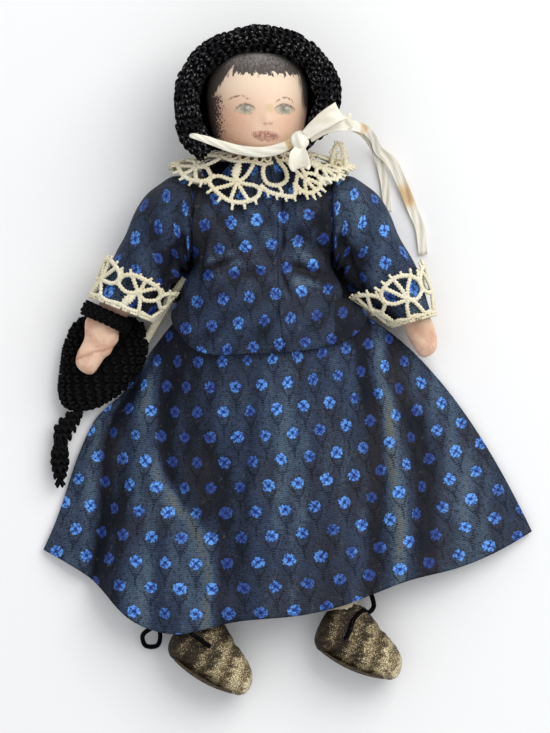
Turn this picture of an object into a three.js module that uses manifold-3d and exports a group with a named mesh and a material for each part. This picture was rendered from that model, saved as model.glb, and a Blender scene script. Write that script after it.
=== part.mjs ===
// A cloth doll in a brocade jacket and skirt, lying on its back with a crocheted bonnet and bag.
// Millimetres. +Y runs to the head, +X to the doll's left hand, +Z up from the table through its face.
// Left and right are the doll's own. The origin is on the table below the hips.
import * as THREE from "three";
import { mergeVertices } from "three/addons/utils/BufferGeometryUtils.js";
import Module from "manifold-3d";

const wasm = await Module();
wasm.setup();
const lerp = THREE.MathUtils.lerp;
const smoothstep = THREE.MathUtils.smoothstep;
const quarterTurn = Math.PI / 2;

// Cloth, leather, lace and ribbon
const CLOTH = 0.8;
const EASE = 0.4;
const LEATHER = 0.9;
const LACE = 0.9;
const RIBBON_WIDTH = 4.4;
const RIBBON_THICK = 0.6;
const YARN = 3;
const LACE_CORD = 1.6;

// Stuffed body and legs
const BODY_DEPTH = 20;
const WAIST_HALF = 20;
const WAIST_DEPTH = 9.6;
const WAIST_Y = 31;
const SHOULDER_Y = 57.5;
const NECK_HALF = 7;
const NECK_Y = 71;
const NECK_LENGTH = 6;
const THIGH = 8;
const ANKLE = 5.2;
const HIP_X = 10.5;

// Jacket and sleeves
const JACKET_HALF = 22.8;
const JACKET_DEPTH = 11.4;
const ARMHOLE = 11.5;
const FRONT_SEAM = 0.14;
const PEPLUM_DROP = 0.155;
const PEPLUM_BACK = 15;
const WAISTBAND = 5;

// Skirt, spread as a fan
const FAN_X = 3.3;
const FAN_Y = 92.6;
const SKIRT_REACH = 165;
const SPREAD_RIGHT = 0.483;
const SPREAD_LEFT = 0.557;
const HEM_DIP = 12;
const HEM_RISE = 2.4;
const HEM_HEIGHT = 17;
const FOLD_HEIGHT = 0.9;
const SIDE_BULGE = 4.6;

// Head, bonnet and bow
const HEAD_X = -1.5;
const HEAD_Z = 19;
const HEAD_HALF = 16.8;
const HEAD_LENGTH = 35.8;
const BONNET_HALF = 24.5;
const BONNET_LENGTH = 23;
const BRIM_HALF = 4.4;
const BRIM_DEEP = 4.9;

// Shoes and bag
const SHOE_LENGTH = 30;
const FOOT_HALF = 5.7;
const FOOT_HEIGHT = 14;
const SOLE = 1.3;
const BAG_HALF = 15;
const BAG_DEEP = 8;
const STRAP_HALF = 2;

// Heights that follow from the layers lying on the table
const layer = CLOTH + EASE;
const BODY_Z = 3 * layer + BODY_DEPTH / 2;
const legFloor = layer;
const hipZ = legFloor + THIGH;
const skirtTopY = WAIST_Y - 2;
const skirtTopHalf = WAIST_HALF + 2 * layer - CLOTH / 2;
const skirtTopDepth = WAIST_DEPTH + 2 * layer - CLOTH / 2;
const armX = JACKET_HALF + CLOTH / 2 + EASE;
const armRoot = ARMHOLE - 2 * EASE - CLOTH - EASE;
const armRootX = armX - 7.7;

// Solids from rings and grids of points
function volumeOf(points, faces) {
  let sum = 0;
  for (const [a, b, c] of faces) {
    const side = new THREE.Vector3().crossVectors(points[b], points[c]);
    sum += points[a].dot(side);
  }
  return sum;
}

function geometryFrom(points, faces) {
  const outward = volumeOf(points, faces) > 0;
  const turned = faces.map(([a, b, c]) => (outward ? [a, b, c] : [a, c, b]));
  const geometry = new THREE.BufferGeometry().setFromPoints(points);
  geometry.setIndex(turned.flat());
  return geometry;
}

function quad(faces, a, b, c, d) {
  faces.push([a, b, c], [a, c, d]);
}

function loft(rings) {
  const count = rings[0].length;
  const points = rings.flat();
  const faces = [];
  for (let row = 0; row + 1 < rings.length; row++) {
    for (let i = 0; i < count; i++) {
      const next = (i + 1) % count;
      const low = row * count;
      const high = low + count;
      quad(faces, low + i, low + next, high + next, high + i);
    }
  }
  for (const [row, flip] of [[0, true], [rings.length - 1, false]]) {
    const middle = new THREE.Vector3();
    rings[row].forEach((p) => middle.addScaledVector(p, 1 / count));
    const hub = points.push(middle) - 1;
    for (let i = 0; i < count; i++) {
      const here = row * count + i;
      const next = row * count + ((i + 1) % count);
      faces.push(flip ? [hub, next, here] : [hub, here, next]);
    }
  }
  return geometryFrom(points, faces);
}

function sleeveOf(outer, inner) {
  const count = outer[0].length;
  const rows = outer.length;
  const points = [...outer.flat(), ...inner.flat()];
  const shift = rows * count;
  const faces = [];
  for (let i = 0; i < count; i++) {
    const next = (i + 1) % count;
    for (let row = 0; row + 1 < rows; row++) {
      const low = row * count;
      const high = low + count;
      quad(faces, low + i, low + next, high + next, high + i);
      quad(faces, shift + low + next, shift + low + i, shift + high + i, shift + high + next);
    }
    const end = (rows - 1) * count;
    quad(faces, next, i, shift + i, shift + next);
    quad(faces, end + i, end + next, shift + end + next, shift + end + i);
  }
  return geometryFrom(points, faces);
}

function normalsOf(grid) {
  const rows = grid.length;
  const columns = grid[0].length;
  return grid.map((line, r) =>
    line.map((p, c) => {
      const down = grid[Math.min(r + 1, rows - 1)][c].clone();
      down.sub(grid[Math.max(r - 1, 0)][c]);
      const across = line[Math.min(c + 1, columns - 1)].clone();
      across.sub(line[Math.max(c - 1, 0)]);
      return across.cross(down).normalize();
    }),
  );
}

function sheet(grid, thick) {
  const rows = grid.length;
  const columns = grid[0].length;
  const normals = normalsOf(grid);
  const side = (sign) =>
    grid.flatMap((line, r) =>
      line.map((p, c) => p.clone().addScaledVector(normals[r][c], (sign * thick) / 2)),
    );
  const points = [...side(1), ...side(-1)];
  const shift = rows * columns;
  const faces = [];
  const at = (r, c) => r * columns + c;
  for (let r = 0; r + 1 < rows; r++) {
    for (let c = 0; c + 1 < columns; c++) {
      const [a, b, d, e] = [at(r, c), at(r, c + 1), at(r + 1, c + 1), at(r + 1, c)];
      quad(faces, a, b, d, e);
      quad(faces, shift + b, shift + a, shift + e, shift + d);
    }
  }
  const border = [];
  for (let c = 0; c + 1 < columns; c++) border.push(at(0, c));
  for (let r = 0; r + 1 < rows; r++) border.push(at(r, columns - 1));
  for (let c = columns - 1; c > 0; c--) border.push(at(rows - 1, c));
  for (let r = rows - 1; r > 0; r--) border.push(at(r, 0));
  border.forEach((here, i) => {
    const next = border[(i + 1) % border.length];
    quad(faces, next, here, shift + here, shift + next);
  });
  return geometryFrom(points, faces);
}

function solidOf(geometry) {
  const bare = geometry.clone();
  bare.deleteAttribute("normal");
  bare.deleteAttribute("uv");
  const merged = mergeVertices(bare, 1e-4);
  const vertProperties = merged.attributes.position.array;
  const triVerts = new Uint32Array(merged.index.array);
  return new wasm.Manifold(new wasm.Mesh({ numProp: 3, vertProperties, triVerts }));
}

function geometryOf(solid) {
  const mesh = solid.getMesh();
  const geometry = new THREE.BufferGeometry();
  geometry.setAttribute("position", new THREE.BufferAttribute(mesh.vertProperties, 3));
  geometry.setIndex(new THREE.BufferAttribute(mesh.triVerts, 1));
  return geometry;
}

function cut(geometry, ...tools) {
  return geometryOf(tools.reduce((left, tool) => left.subtract(solidOf(tool)), solidOf(geometry)));
}

function join(geometry, ...others) {
  return geometryOf(others.reduce((sum, other) => sum.add(solidOf(other)), solidOf(geometry)));
}

function ball(x, y, z, rx, ry, rz, around = 20, down = 12) {
  return new THREE.SphereGeometry(1, around, down).scale(rx, ry, rz).translate(x, y, z);
}

function block(x0, x1, y0, y1, z0, z1) {
  const box = new THREE.BoxGeometry(x1 - x0, y1 - y0, z1 - z0);
  return box.translate((x0 + x1) / 2, (y0 + y1) / 2, (z0 + z1) / 2);
}

// A round cord or a flat ribbon laid along hand-placed points
function cord(route, thick) {
  const extrudePath = new THREE.CatmullRomCurve3(route.map((p) => new THREE.Vector3(...p)));
  const rim = Array.from({ length: 8 }, (none, i) => {
    const turn = (i / 8) * 2 * Math.PI;
    return new THREE.Vector2((thick / 2) * Math.cos(turn), (thick / 2) * Math.sin(turn));
  });
  const steps = Math.round(extrudePath.getLength() / (2 * thick));
  return new THREE.ExtrudeGeometry(new THREE.Shape(rim), { steps, extrudePath });
}

function ribbon(route, widths, across, steps = 20) {
  const curve = new THREE.CatmullRomCurve3(route.map((p) => new THREE.Vector3(...p)));
  const wide = new THREE.CatmullRomCurve3(across.map((p) => new THREE.Vector3(...p)));
  const grid = Array.from({ length: steps + 1 }, (none, row) => {
    const share = row / steps;
    const middle = curve.getPoint(share);
    const tangent = curve.getTangent(share);
    const side = wide.getPoint(share).addScaledVector(tangent, -wide.getPoint(share).dot(tangent));
    side.normalize();
    const place = share * (widths.length - 1);
    const low = Math.min(Math.floor(place), widths.length - 2);
    const width = lerp(widths[low], widths[low + 1], place - low);
    return [-1, 0, 1].map((s) => middle.clone().addScaledVector(side, (s * width) / 2));
  });
  return sheet(grid, RIBBON_THICK);
}

// Rings square to the doll's length
function bodyRing(half, front, back, y, floor, x0 = 0, z0 = BODY_Z, count = 24) {
  return Array.from({ length: count }, (none, i) => {
    const turn = (i / count) * 2 * Math.PI;
    const lift = Math.cos(turn);
    const z = z0 + lift * (lift > 0 ? front : back);
    return new THREE.Vector3(x0 + half * Math.sin(turn), y, Math.max(z, floor));
  });
}

function curveThrough(stations, steps) {
  return new THREE.CatmullRomCurve3(stations.map((s) => new THREE.Vector3(...s))).getPoints(steps);
}

// Torso: half width, half depth and height along the doll
const seatY = THIGH + EASE;
const bodyHalfDepth = BODY_DEPTH / 2;
const chestHalf = armRootX - EASE;
const underArm = SHOULDER_Y - ARMHOLE;
const torsoStations = [
  [WAIST_HALF - 3, bodyHalfDepth - 2, seatY],
  [WAIST_HALF, bodyHalfDepth - 0.4, seatY + 5],
  [WAIST_HALF, WAIST_DEPTH, WAIST_Y],
  [chestHalf, bodyHalfDepth, underArm],
  [chestHalf, bodyHalfDepth, SHOULDER_Y + 5],
  [NECK_HALF + 4, bodyHalfDepth - 2, NECK_Y - 3],
  [NECK_HALF, NECK_HALF - 0.4, NECK_Y + 1],
  [NECK_HALF, NECK_HALF - 0.4, NECK_Y + NECK_LENGTH],
];
const bodyBack = 3 * layer;
const torsoRings = torsoStations.map(([half, deep, y]) => bodyRing(half, deep, deep, y, bodyBack));
const torsoBody = loft(torsoRings);

// Skirt surface: side runs from -1 at the right seam to 1 at the left, down from the waist to the hem
function hemPoint(side) {
  const angle = side * (side < 0 ? SPREAD_RIGHT : SPREAD_LEFT);
  const dip = HEM_DIP * Math.exp(-(((angle + 0.21) / 0.122) ** 2));
  const rise = HEM_RISE * Math.exp(-(((angle - 0.28) / 0.1) ** 2));
  const reach = SKIRT_REACH + dip - rise;
  return [FAN_X + reach * Math.sin(angle), FAN_Y - reach * Math.cos(angle)];
}

function billow(side, down) {
  const power = lerp(1, side < 0 ? 0.7 : 0.45, Math.abs(side));
  const start = 0.02;
  return ((down + start) ** power - start ** power) / ((1 + start) ** power - start ** power);
}

function skirtPlan(side, down) {
  const [hemX, hemY] = hemPoint(side);
  const topX = skirtTopHalf * Math.sin(side * quarterTurn);
  const bulge = side < 0 ? SIDE_BULGE * side ** 4 : 0;
  const bulgeHere = bulge * smoothstep(down, 0.34, 0.48) * (1 - smoothstep(down, 0.48, 0.95));
  return [lerp(topX, hemX, billow(side, down)) - bulgeHere, lerp(skirtTopY, hemY, down)];
}

// Main folds of the spread skirt: points along each, its half width, height and share left at the hem
const deepFold = [[-27.5, 18], [-32, -4], [-33.3, -15], [-32, -26], [-27, -38], [-22, -50], [-20, -80]];
const deepRidge = deepFold.map(([x, y]) => [x - 8.5, y]);
const sideCrease = [[-37, 12], [-44, 0], [-49.8, -8], [-53, -18], [-54.3, -44], [-58, -70]];
const rightStep = [[33, 10], [37, -8], [38.6, -30], [38, -55], [35, -80]];
const rightRidge = rightStep.map(([x, y]) => [x + 8, y]);
const rightHollow = [[44, 5], [50, -10], [54, -28], [55, -60], [56, -80]];
const skirtFolds = [
  [deepFold, 4.2, -2.3, 0.45],
  [deepRidge, 4.6, 1.7, 0.7],
  [sideCrease, 3.4, -1.7, 1],
  [rightStep, 3.8, -1.8, 1],
  [rightRidge, 4.4, 1.6, 1],
  [rightHollow, 4, -1.3, 1],
];

function acrossAt(line, y) {
  const next = line.findIndex(([, mark]) => mark <= y);
  if (next === 0) return line[0][0];
  if (next < 0) return line[line.length - 1][0];
  const [x0, y0] = line[next - 1];
  const [x1, y1] = line[next];
  return lerp(x0, x1, (y - y0) / (y1 - y0));
}

function foldLift(x, y, side, down) {
  const edge = Math.min(1, (1 - Math.abs(side)) / 0.1);
  const fade = smoothstep(down, 0.1, 0.3) * edge;
  return skirtFolds.reduce((lift, [line, wide, height, atHem]) => {
    const away = (x - acrossAt(line, y)) / wide;
    const strength = lerp(atHem, 1, smoothstep(y, -55, -10));
    return lift + fade * strength * height * Math.exp(-away * away);
  }, 0);
}

const seamLift = (CLOTH + EASE) / 2;
const hemEdge = CLOTH / 2;

function skirtFront(side, down) {
  const [x, y] = skirtPlan(side, down);
  const far = Math.abs(side);
  const top = BODY_Z + seamLift + skirtTopDepth * Math.cos(side * quarterTurn);
  const dome = HEM_HEIGHT * (1 - far ** 2.2) ** 1.1;
  const folds = FOLD_HEIGHT * down * (1 - far ** 4) * Math.cos(6.5 * Math.PI * side + 0.6);
  const crease = -2.2 * down * Math.exp(-(((side + 0.78) / 0.06) ** 2));
  const hem = hemEdge + 2 * seamLift + dome + folds + crease;
  const fallen = lerp(top, hem, smoothstep(down, 0, lerp(0.9, 0.35, far)));
  return new THREE.Vector3(x, y, fallen + foldLift(x, y, side, down));
}

function skirtBack(side, down) {
  const [x, y] = skirtPlan(side, down * 0.985);
  const far = Math.abs(side);
  const arch = BODY_Z - seamLift - skirtTopDepth * Math.cos(side * quarterTurn);
  const top = Math.max(arch, layer + CLOTH / 2);
  const fall = smoothstep(down, lerp(0.16, 0, far), lerp(0.22, 0.35, far * far));
  return new THREE.Vector3(x, y, lerp(top, hemEdge, fall));
}

const skirtRows = 10;
function skirtGrid(surface, columns) {
  return Array.from({ length: skirtRows + 1 }, (none, r) => {
    const down = (r / skirtRows) ** 1.5;
    return Array.from({ length: columns + 1 }, (unused, c) => surface((2 * c) / columns - 1, down));
  });
}
const skirtFrontPanel = sheet(skirtGrid(skirtFront, 48), CLOTH);
const skirtBackPanel = sheet(skirtGrid(skirtBack, 16), CLOTH);

function bandRing(grow, y) {
  const half = WAIST_HALF + grow;
  const deep = WAIST_DEPTH + grow;
  return bodyRing(half, deep, deep + 1, y, bodyBack - grow);
}
const bandLow = WAIST_Y - 1.2;
const bandHigh = bandLow + WAISTBAND;
const skirtWaistband = sleeveOf(
  [bandRing(layer, bandLow), bandRing(layer, bandHigh)],
  [bandRing(EASE, bandLow), bandRing(EASE, bandHigh)],
);

// Jacket: half width, front depth and height from the neck edge down to the waist
const waistOut = layer;
const jacketStations = [
  [NECK_HALF + 2.2, NECK_HALF + 1.4, NECK_Y + 2.5],
  [JACKET_HALF - 8.5, JACKET_DEPTH - 2.4, NECK_Y - 1.5],
  [JACKET_HALF - 2, JACKET_DEPTH - 1, SHOULDER_Y + 8],
  [JACKET_HALF, JACKET_DEPTH, SHOULDER_Y],
  [JACKET_HALF, JACKET_DEPTH, underArm],
  [JACKET_HALF, JACKET_DEPTH, underArm - 6],
  [skirtTopHalf + waistOut, skirtTopDepth + waistOut, WAIST_Y + 1],
];
const jacketLines = curveThrough(jacketStations, 9);

function peplumFront(side, share) {
  const drop = PEPLUM_DROP * (1 - side ** 4) + 0.004;
  const down = drop * share;
  const step = 0.004;
  const here = skirtFront(side, down);
  const along = skirtFront(side, down + step).sub(here);
  const across = skirtFront(side + step, down).sub(skirtFront(side - step, down));
  const out = across.cross(along).normalize();
  const lift = layer + EASE;
  return here.addScaledVector(out, out.z < 0 ? -lift : lift);
}

function peplumBack(side, share, waist) {
  const length = PEPLUM_BACK * Math.max(0, 1 - (side / 0.72) ** 2);
  const y = lerp(waist.y, skirtTopY + EASE - length, share);
  const z = lerp(waist.z, CLOTH / 2, smoothstep(length * share, 0, 7));
  return new THREE.Vector3(waist.x, y, z);
}

const shoulderRound = ARMHOLE + EASE + CLOTH / 2;
function jacketGrid(from, to, columns, back) {
  const sides = Array.from({ length: columns + 1 }, (none, c) => lerp(from, to, c / columns));
  const neckDepth = jacketLines[0].y;
  const upper = jacketLines.map((line) =>
    sides.map((side) => {
      const lift = Math.cos(side * quarterTurn);
      const sag = 6 * smoothstep(line.y, neckDepth, JACKET_DEPTH);
      const deep = back ? (line.y + sag) * lift : line.y * lift;
      const overArm = Math.sqrt(Math.max(0, shoulderRound ** 2 - (line.z - SHOULDER_Y) ** 2));
      const out = Math.max(deep + seamLift, overArm);
      const z = Math.max(BODY_Z + (back ? -out : out), CLOTH / 2);
      return new THREE.Vector3(line.x * Math.sin(side * quarterTurn), line.z, z);
    }),
  );
  const waist = upper[upper.length - 1];
  const lower = [0.12, 0.4, 0.7, 1].map((share) =>
    sides.map((side, c) => (back ? peplumBack(side, share, waist[c]) : peplumFront(side, share))),
  );
  return [...upper, ...lower];
}

const armholeCut = new THREE.CylinderGeometry(ARMHOLE, ARMHOLE, 200, 28).rotateZ(quarterTurn);
armholeCut.translate(0, SHOULDER_Y, BODY_Z);
const armholeKeep = block(-14, 14, underArm - 5, NECK_Y, -5, 60);
const armholes = cut(armholeCut, armholeKeep);
const seamSide = 0.015;
const jacketFrontRight = cut(sheet(jacketGrid(-0.985, FRONT_SEAM - seamSide, 9, false), CLOTH), armholes);
const jacketFrontLeft = cut(sheet(jacketGrid(FRONT_SEAM + seamSide, 0.985, 7, false), CLOTH), armholes);
const jacketBack = cut(sheet(jacketGrid(-0.985, 0.985, 14, true), CLOTH), armholes);

// Sleeve rings: outer edge, inner edge and half depth, from the armhole plane and the shoulder height
const sleeveCut = [
  [-6, ARMHOLE - EASE, -6, EASE - ARMHOLE, ARMHOLE - EASE],
  [-0.1, ARMHOLE - EASE, -0.1, EASE - ARMHOLE, ARMHOLE - EASE],
  [0.2, 13.6, 0.2, -13.8, 12.2],
  [7, 13.4, 0.8, -15.2, 12],
  [13.5, 9, 1.6, -16.4, 11],
  [19.2, 0.6, 3, -18.2, 10],
  [23.6, -8.8, 5.2, -21.3, 9.2],
];
// The two rings above each wrist: the left sleeve is pulled further down over its hand
const wristRight = [
  [27.2, -17, 8.4, -26, 8.8],
  [33, -26.6, 13.6, -34.2, 8.4],
];
const wristLeft = [
  [29.2, -20, 10.2, -28, 8.8],
  [33.4, -32.6, 20.8, -36, 8],
];
const lastRing = sleeveCut.length + 1;

function sleeveSection(side, place) {
  const rows = [...sleeveCut, ...(side < 0 ? wristRight : wristLeft)];
  const low = Math.min(Math.floor(place), lastRing - 1);
  const share = place - low;
  return rows[low].map((value, i) => lerp(value, rows[low + 1][i], share));
}

function armRing(side, wristZ, place, grow, floor, count = 16) {
  const [outX, outY, inX, inY, deep] = sleeveSection(side, place);
  const z = lerp(BODY_Z, wristZ, smoothstep(place, 3, lastRing));
  const across = new THREE.Vector2(outX - inX, outY - inY).multiplyScalar(0.5);
  const half = across.length();
  across.multiplyScalar((half + grow) / half);
  const middle = [armX + (outX + inX) / 2, SHOULDER_Y + (outY + inY) / 2];
  return Array.from({ length: count }, (none, i) => {
    const turn = (i / count) * 2 * Math.PI;
    const x = middle[0] + across.x * Math.cos(turn);
    const y = middle[1] + across.y * Math.cos(turn);
    return new THREE.Vector3(side * x, y, Math.max(z + (deep + grow) * Math.sin(turn), floor));
  });
}

const cuffFloor = 0.2;
const sleeveFloor = cuffFloor + LACE + EASE;

function sleeve(side, wristZ) {
  const rings = Array.from({ length: lastRing + 1 }, (none, i) => i);
  return sleeveOf(
    rings.map((i) => armRing(side, wristZ, i, 0, sleeveFloor)),
    rings.map((i) => armRing(side, wristZ, i, -CLOTH, sleeveFloor + CLOTH)),
  );
}

// Cuff of lace turned back from the wrist over the end of the sleeve
function cuff(side, wristZ) {
  const count = 30;
  const ring = (share, grow) => {
    const points = [];
    for (let i = 0; i < count; i++) {
      const scallop = 0.22 * share * Math.abs(Math.cos((i / count) * 5 * Math.PI));
      const place = lerp(lastRing + 0.1, lastRing - 1.15, share) + scallop;
      points.push(armRing(side, wristZ, place, EASE + grow + 2.2 * share, cuffFloor + LACE - grow, count)[i]);
    }
    return points;
  };
  const shares = [0, 0.5, 1];
  return sleeveOf(
    shares.map((share) => ring(share, LACE)),
    shares.map((share) => ring(share, 0)),
  );
}

// Arm with its mitten hand: middle of each section, half width and half depth
const handRight = [
  [27.6, -33, 5, 4.2],
  [30.4, -37.6, 6.1, 4],
  [32.6, -42.6, 5.4, 3.6],
  [34.3, -47.4, 4.1, 3.2],
  [35.6, -51.6, 2.6, 2.2],
];
const handLeft = [
  [26.6, -32.6, 4.6, 4],
  [28.8, -36.6, 4.8, 3.8],
  [30.8, -41, 4.4, 3.4],
  [32.6, -46, 2.4, 2.2],
];

function roundRing(side, x, y, z, half, deep, slope, count = 16) {
  return Array.from({ length: count }, (none, i) => {
    const turn = (i / count) * 2 * Math.PI;
    const across = half * Math.cos(turn);
    const px = x + across * Math.cos(slope);
    return new THREE.Vector3(side * px, y + across * Math.sin(slope), z + deep * Math.sin(turn));
  });
}

function arm(side, wristZ, hand) {
  const upper = [
    [armRootX, SHOULDER_Y, armRoot, armRoot, quarterTurn],
    [armX - 1, SHOULDER_Y, armRoot, armRoot, quarterTurn],
    [armX + 6, SHOULDER_Y - 2, armRoot - 1, armRoot - 1, 1.1],
    [armX + 11.4, SHOULDER_Y - 9, armRoot - 2.2, armRoot - 2.4, 0.75],
    [armX + 16.5, SHOULDER_Y - 17.5, armRoot - 3, armRoot - 3.4, 0.6],
    [armX + 21.5, SHOULDER_Y - 25.5, armRoot - 3.6, armRoot - 4, 0.57],
  ];
  const lower = hand.map(([x, y, half, deep]) => [armX + x, SHOULDER_Y + y, half, deep, 0.57]);
  const all = [...upper, ...lower];
  const rings = all.map(([x, y, half, deep, slope], i) => {
    const z = lerp(BODY_Z, wristZ, smoothstep(i, 1, upper.length));
    return roundRing(side, x, y, z, half, deep, slope);
  });
  return loft(rings);
}

const rightWristZ = BAG_DEEP + 2 * EASE + 4.6;
const leftWristZ = 10.4;
const thumb = ball(-(armX + 28.4), SHOULDER_Y - 42, rightWristZ, 2.4, 4.6, 2.6, 12, 8);
const rightArm = join(arm(-1, rightWristZ, handRight), thumb);
const leftArm = arm(1, leftWristZ, handLeft);

// Legs and feet: the feet lie on their sides with both toes towards the doll's left
const shoeWall = EASE + LEATHER;
const footZ = FOOT_HALF + shoeWall + layer;
const rightFoot = { heel: [-31.5, -86.6], toward: -0.52, side: -1 };
const leftFoot = { heel: [17.5, -84.4], toward: -0.4, side: 1 };
const footStations = [
  [0.05, 0.55, 0.55],
  [0.12, 0.85, 0.85],
  [0.27, 1, 0.96],
  [0.42, 0.92, 0.98],
  [0.58, 0.66, 1],
  [0.74, 0.5, 0.97],
  [0.88, 0.36, 0.8],
  [0.95, 0.22, 0.5],
];

function footRing(foot, station, grow, count = 14) {
  const [along, tall, wide] = station;
  const stretch = (along - 0.5) * 2 * grow;
  const ahead = along * SHOE_LENGTH + stretch;
  const height = tall * FOOT_HEIGHT;
  return Array.from({ length: count }, (none, i) => {
    const turn = (i / count) * 2 * Math.PI;
    const up = Math.max(height / 2 + (height / 2 + grow) * Math.sin(turn), 0.4 - grow);
    const x = foot.heel[0] + ahead * Math.cos(foot.toward) - up * Math.sin(foot.toward);
    const y = foot.heel[1] + ahead * Math.sin(foot.toward) + up * Math.cos(foot.toward);
    return new THREE.Vector3(x, y, footZ + (wide * FOOT_HALF + grow) * Math.cos(turn));
  });
}

function fromHeel(foot, ahead, up, z) {
  const x = foot.heel[0] + ahead * Math.cos(foot.toward) - up * Math.sin(foot.toward);
  const y = foot.heel[1] + ahead * Math.sin(foot.toward) + up * Math.cos(foot.toward);
  return [x, y, z];
}

function footForm(foot, grow) {
  return loft(footStations.map((station) => footRing(foot, station, grow)));
}

function leg(foot) {
  const [ankleX, ankleY] = fromHeel(foot, 0.27 * SHOE_LENGTH, 0.65 * FOOT_HEIGHT, footZ);
  const out = foot.side * ankleX;
  const stations = [
    [HIP_X, THIGH - 0.2, THIGH * 0.3],
    [HIP_X, THIGH * 0.72, THIGH * 0.7],
    [HIP_X, 0, THIGH],
    [lerp(HIP_X, out, 0.5), ankleY / 2, THIGH - 0.8],
    [lerp(HIP_X, out, 0.85), ankleY * 0.85, ANKLE + 0.6],
    [out, ankleY, ANKLE],
  ];
  const rings = stations.map(([x, y, r], i) => {
    const z = i < 3 ? hipZ : lerp(hipZ, footZ, (i - 2) / 3);
    return bodyRing(r, r, r, y, legFloor, foot.side * x, z, 14);
  });
  return join(loft(rings), footForm(foot, 0));
}

function shoeUpper(foot) {
  const opening = block(-6, SHOE_LENGTH * 0.46, FOOT_HEIGHT * 0.72, FOOT_HEIGHT * 3, -40, 40);
  opening.rotateZ(foot.toward);
  opening.translate(foot.heel[0], foot.heel[1], footZ);
  return cut(footForm(foot, shoeWall), footForm(foot, EASE), opening, leg(foot));
}

function shoeSole(foot) {
  const outline = footStations.map(([along, , wide]) => [
    along * SHOE_LENGTH + (along - 0.5) * 2 * shoeWall,
    wide * FOOT_HALF + shoeWall * 0.8,
  ]);
  const around = [...outline, ...outline.map(([a, w]) => [a, -w]).reverse()];
  const top = -shoeWall - EASE;
  const ring = (up) => around.map(([a, w]) => new THREE.Vector3(...fromHeel(foot, a, up, footZ + w)));
  return loft([ring(top), ring(top - SOLE)]);
}

const rightLeg = leg(rightFoot);
const leftLeg = leg(leftFoot);
const laceTop = footZ + FOOT_HALF + shoeWall + LACE_CORD / 2 + EASE;
const laceLow = layer + LACE_CORD / 2;
const rightLaceRoute = [
  fromHeel(rightFoot, 12, 8, laceTop),
  fromHeel(rightFoot, 6, 8.6, laceTop),
  fromHeel(rightFoot, 0, 9, laceTop - 1.5),
  fromHeel(rightFoot, -4.5, 7.5, laceTop - 6),
  fromHeel(rightFoot, -8, 3.5, laceLow + 4),
  fromHeel(rightFoot, -9.5, -0.5, laceLow + 1.5),
  fromHeel(rightFoot, -7, -3, laceLow),
  fromHeel(rightFoot, -3.6, -1, laceLow + 0.4),
  fromHeel(rightFoot, -4.4, 2.4, laceLow + 1.2),
  fromHeel(rightFoot, -8.5, 6.4, laceLow + 1),
  fromHeel(rightFoot, -12, 7.4, laceLow),
];
const leftLaceRoute = [
  fromHeel(leftFoot, 9, 8.6, laceTop),
  fromHeel(leftFoot, 8.9, 12.3, laceTop - 1.4),
  fromHeel(leftFoot, 10.6, 16.2, laceTop - 4.8),
  fromHeel(leftFoot, 12.9, 16.4, laceTop - 7.6),
  fromHeel(leftFoot, 13.6, 18.7, laceTop - 9),
  fromHeel(leftFoot, 12, 21.3, laceTop - 8.8),
  fromHeel(leftFoot, 9.4, 23.9, laceTop - 8),
  fromHeel(leftFoot, 7.2, 27.3, laceTop - 7.4),
];

// Head: half width, front depth, back depth and height above the neck, as shares of the head
const headLow = NECK_Y + NECK_LENGTH + EASE;
const headStations = [
  [0.3, 0.3, 0.24, 0],
  [0.57, 0.54, 0.42, 0.035],
  [0.78, 0.75, 0.6, 0.12],
  [0.93, 0.87, 0.72, 0.26],
  [1, 0.9, 0.78, 0.46],
  [1, 0.87, 0.78, 0.66],
  [0.87, 0.75, 0.68, 0.83],
  [0.6, 0.54, 0.5, 0.94],
  [0.25, 0.24, 0.24, 1],
];
const headRings = headStations.map(([wide, front, back, up]) => {
  const y = headLow + up * HEAD_LENGTH;
  return bodyRing(wide * HEAD_HALF, front * HEAD_HALF, back * HEAD_HALF, y, 0, HEAD_X, HEAD_Z, 20);
});
const head = loft(headRings);

// Bonnet: a cap behind the head and a thick rolled brim round the face
const bonnetY = headLow + HEAD_LENGTH * 0.54;
const bonnetDeep = HEAD_Z - 2;
const brimFloor = HEAD_Z + 3;
const bonnetLow = headLow + 0.6;
const bonnetOuter = ball(HEAD_X, bonnetY, bonnetDeep, BONNET_HALF, BONNET_LENGTH, bonnetDeep);
const bonnetInner = ball(
  HEAD_X,
  bonnetY,
  bonnetDeep,
  BONNET_HALF - YARN,
  BONNET_LENGTH - YARN,
  bonnetDeep - YARN,
);
const bonnetCrown = cut(
  bonnetOuter,
  bonnetInner,
  block(-80, 80, 0, 200, brimFloor, 100),
  block(-80, 80, 0, bonnetLow, -10, 100),
  ball(HEAD_X, headLow - 2, HEAD_Z + 4, HEAD_HALF + 1, 12, HEAD_HALF + 4),
);
const brimZ = brimFloor + EASE + BRIM_DEEP;
const brimArch = [BONNET_HALF - 1.2, BONNET_LENGTH - 1.6];
const brimEnd = 0.75;
const brimRings = Array.from({ length: 23 }, (none, row) => {
  const angle = lerp(-brimEnd, Math.PI + brimEnd, row / 22);
  const out = new THREE.Vector3(Math.cos(angle), Math.sin(angle), 0);
  const droop = smoothstep(angle, Math.PI, Math.PI + brimEnd);
  const middle = new THREE.Vector3(
    HEAD_X + brimArch[0] * Math.cos(angle) * (1 + 0.12 * droop),
    bonnetY + brimArch[1] * Math.sin(angle) * (1 + 0.06 * droop),
    brimZ,
  );
  return Array.from({ length: 12 }, (unused, i) => {
    const turn = (i / 12) * 2 * Math.PI;
    const p = middle.clone().addScaledVector(out, BRIM_HALF * Math.cos(turn));
    p.z += BRIM_DEEP * Math.sin(turn);
    return p;
  });
});
const bonnetBrim = loft(brimRings);

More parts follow.
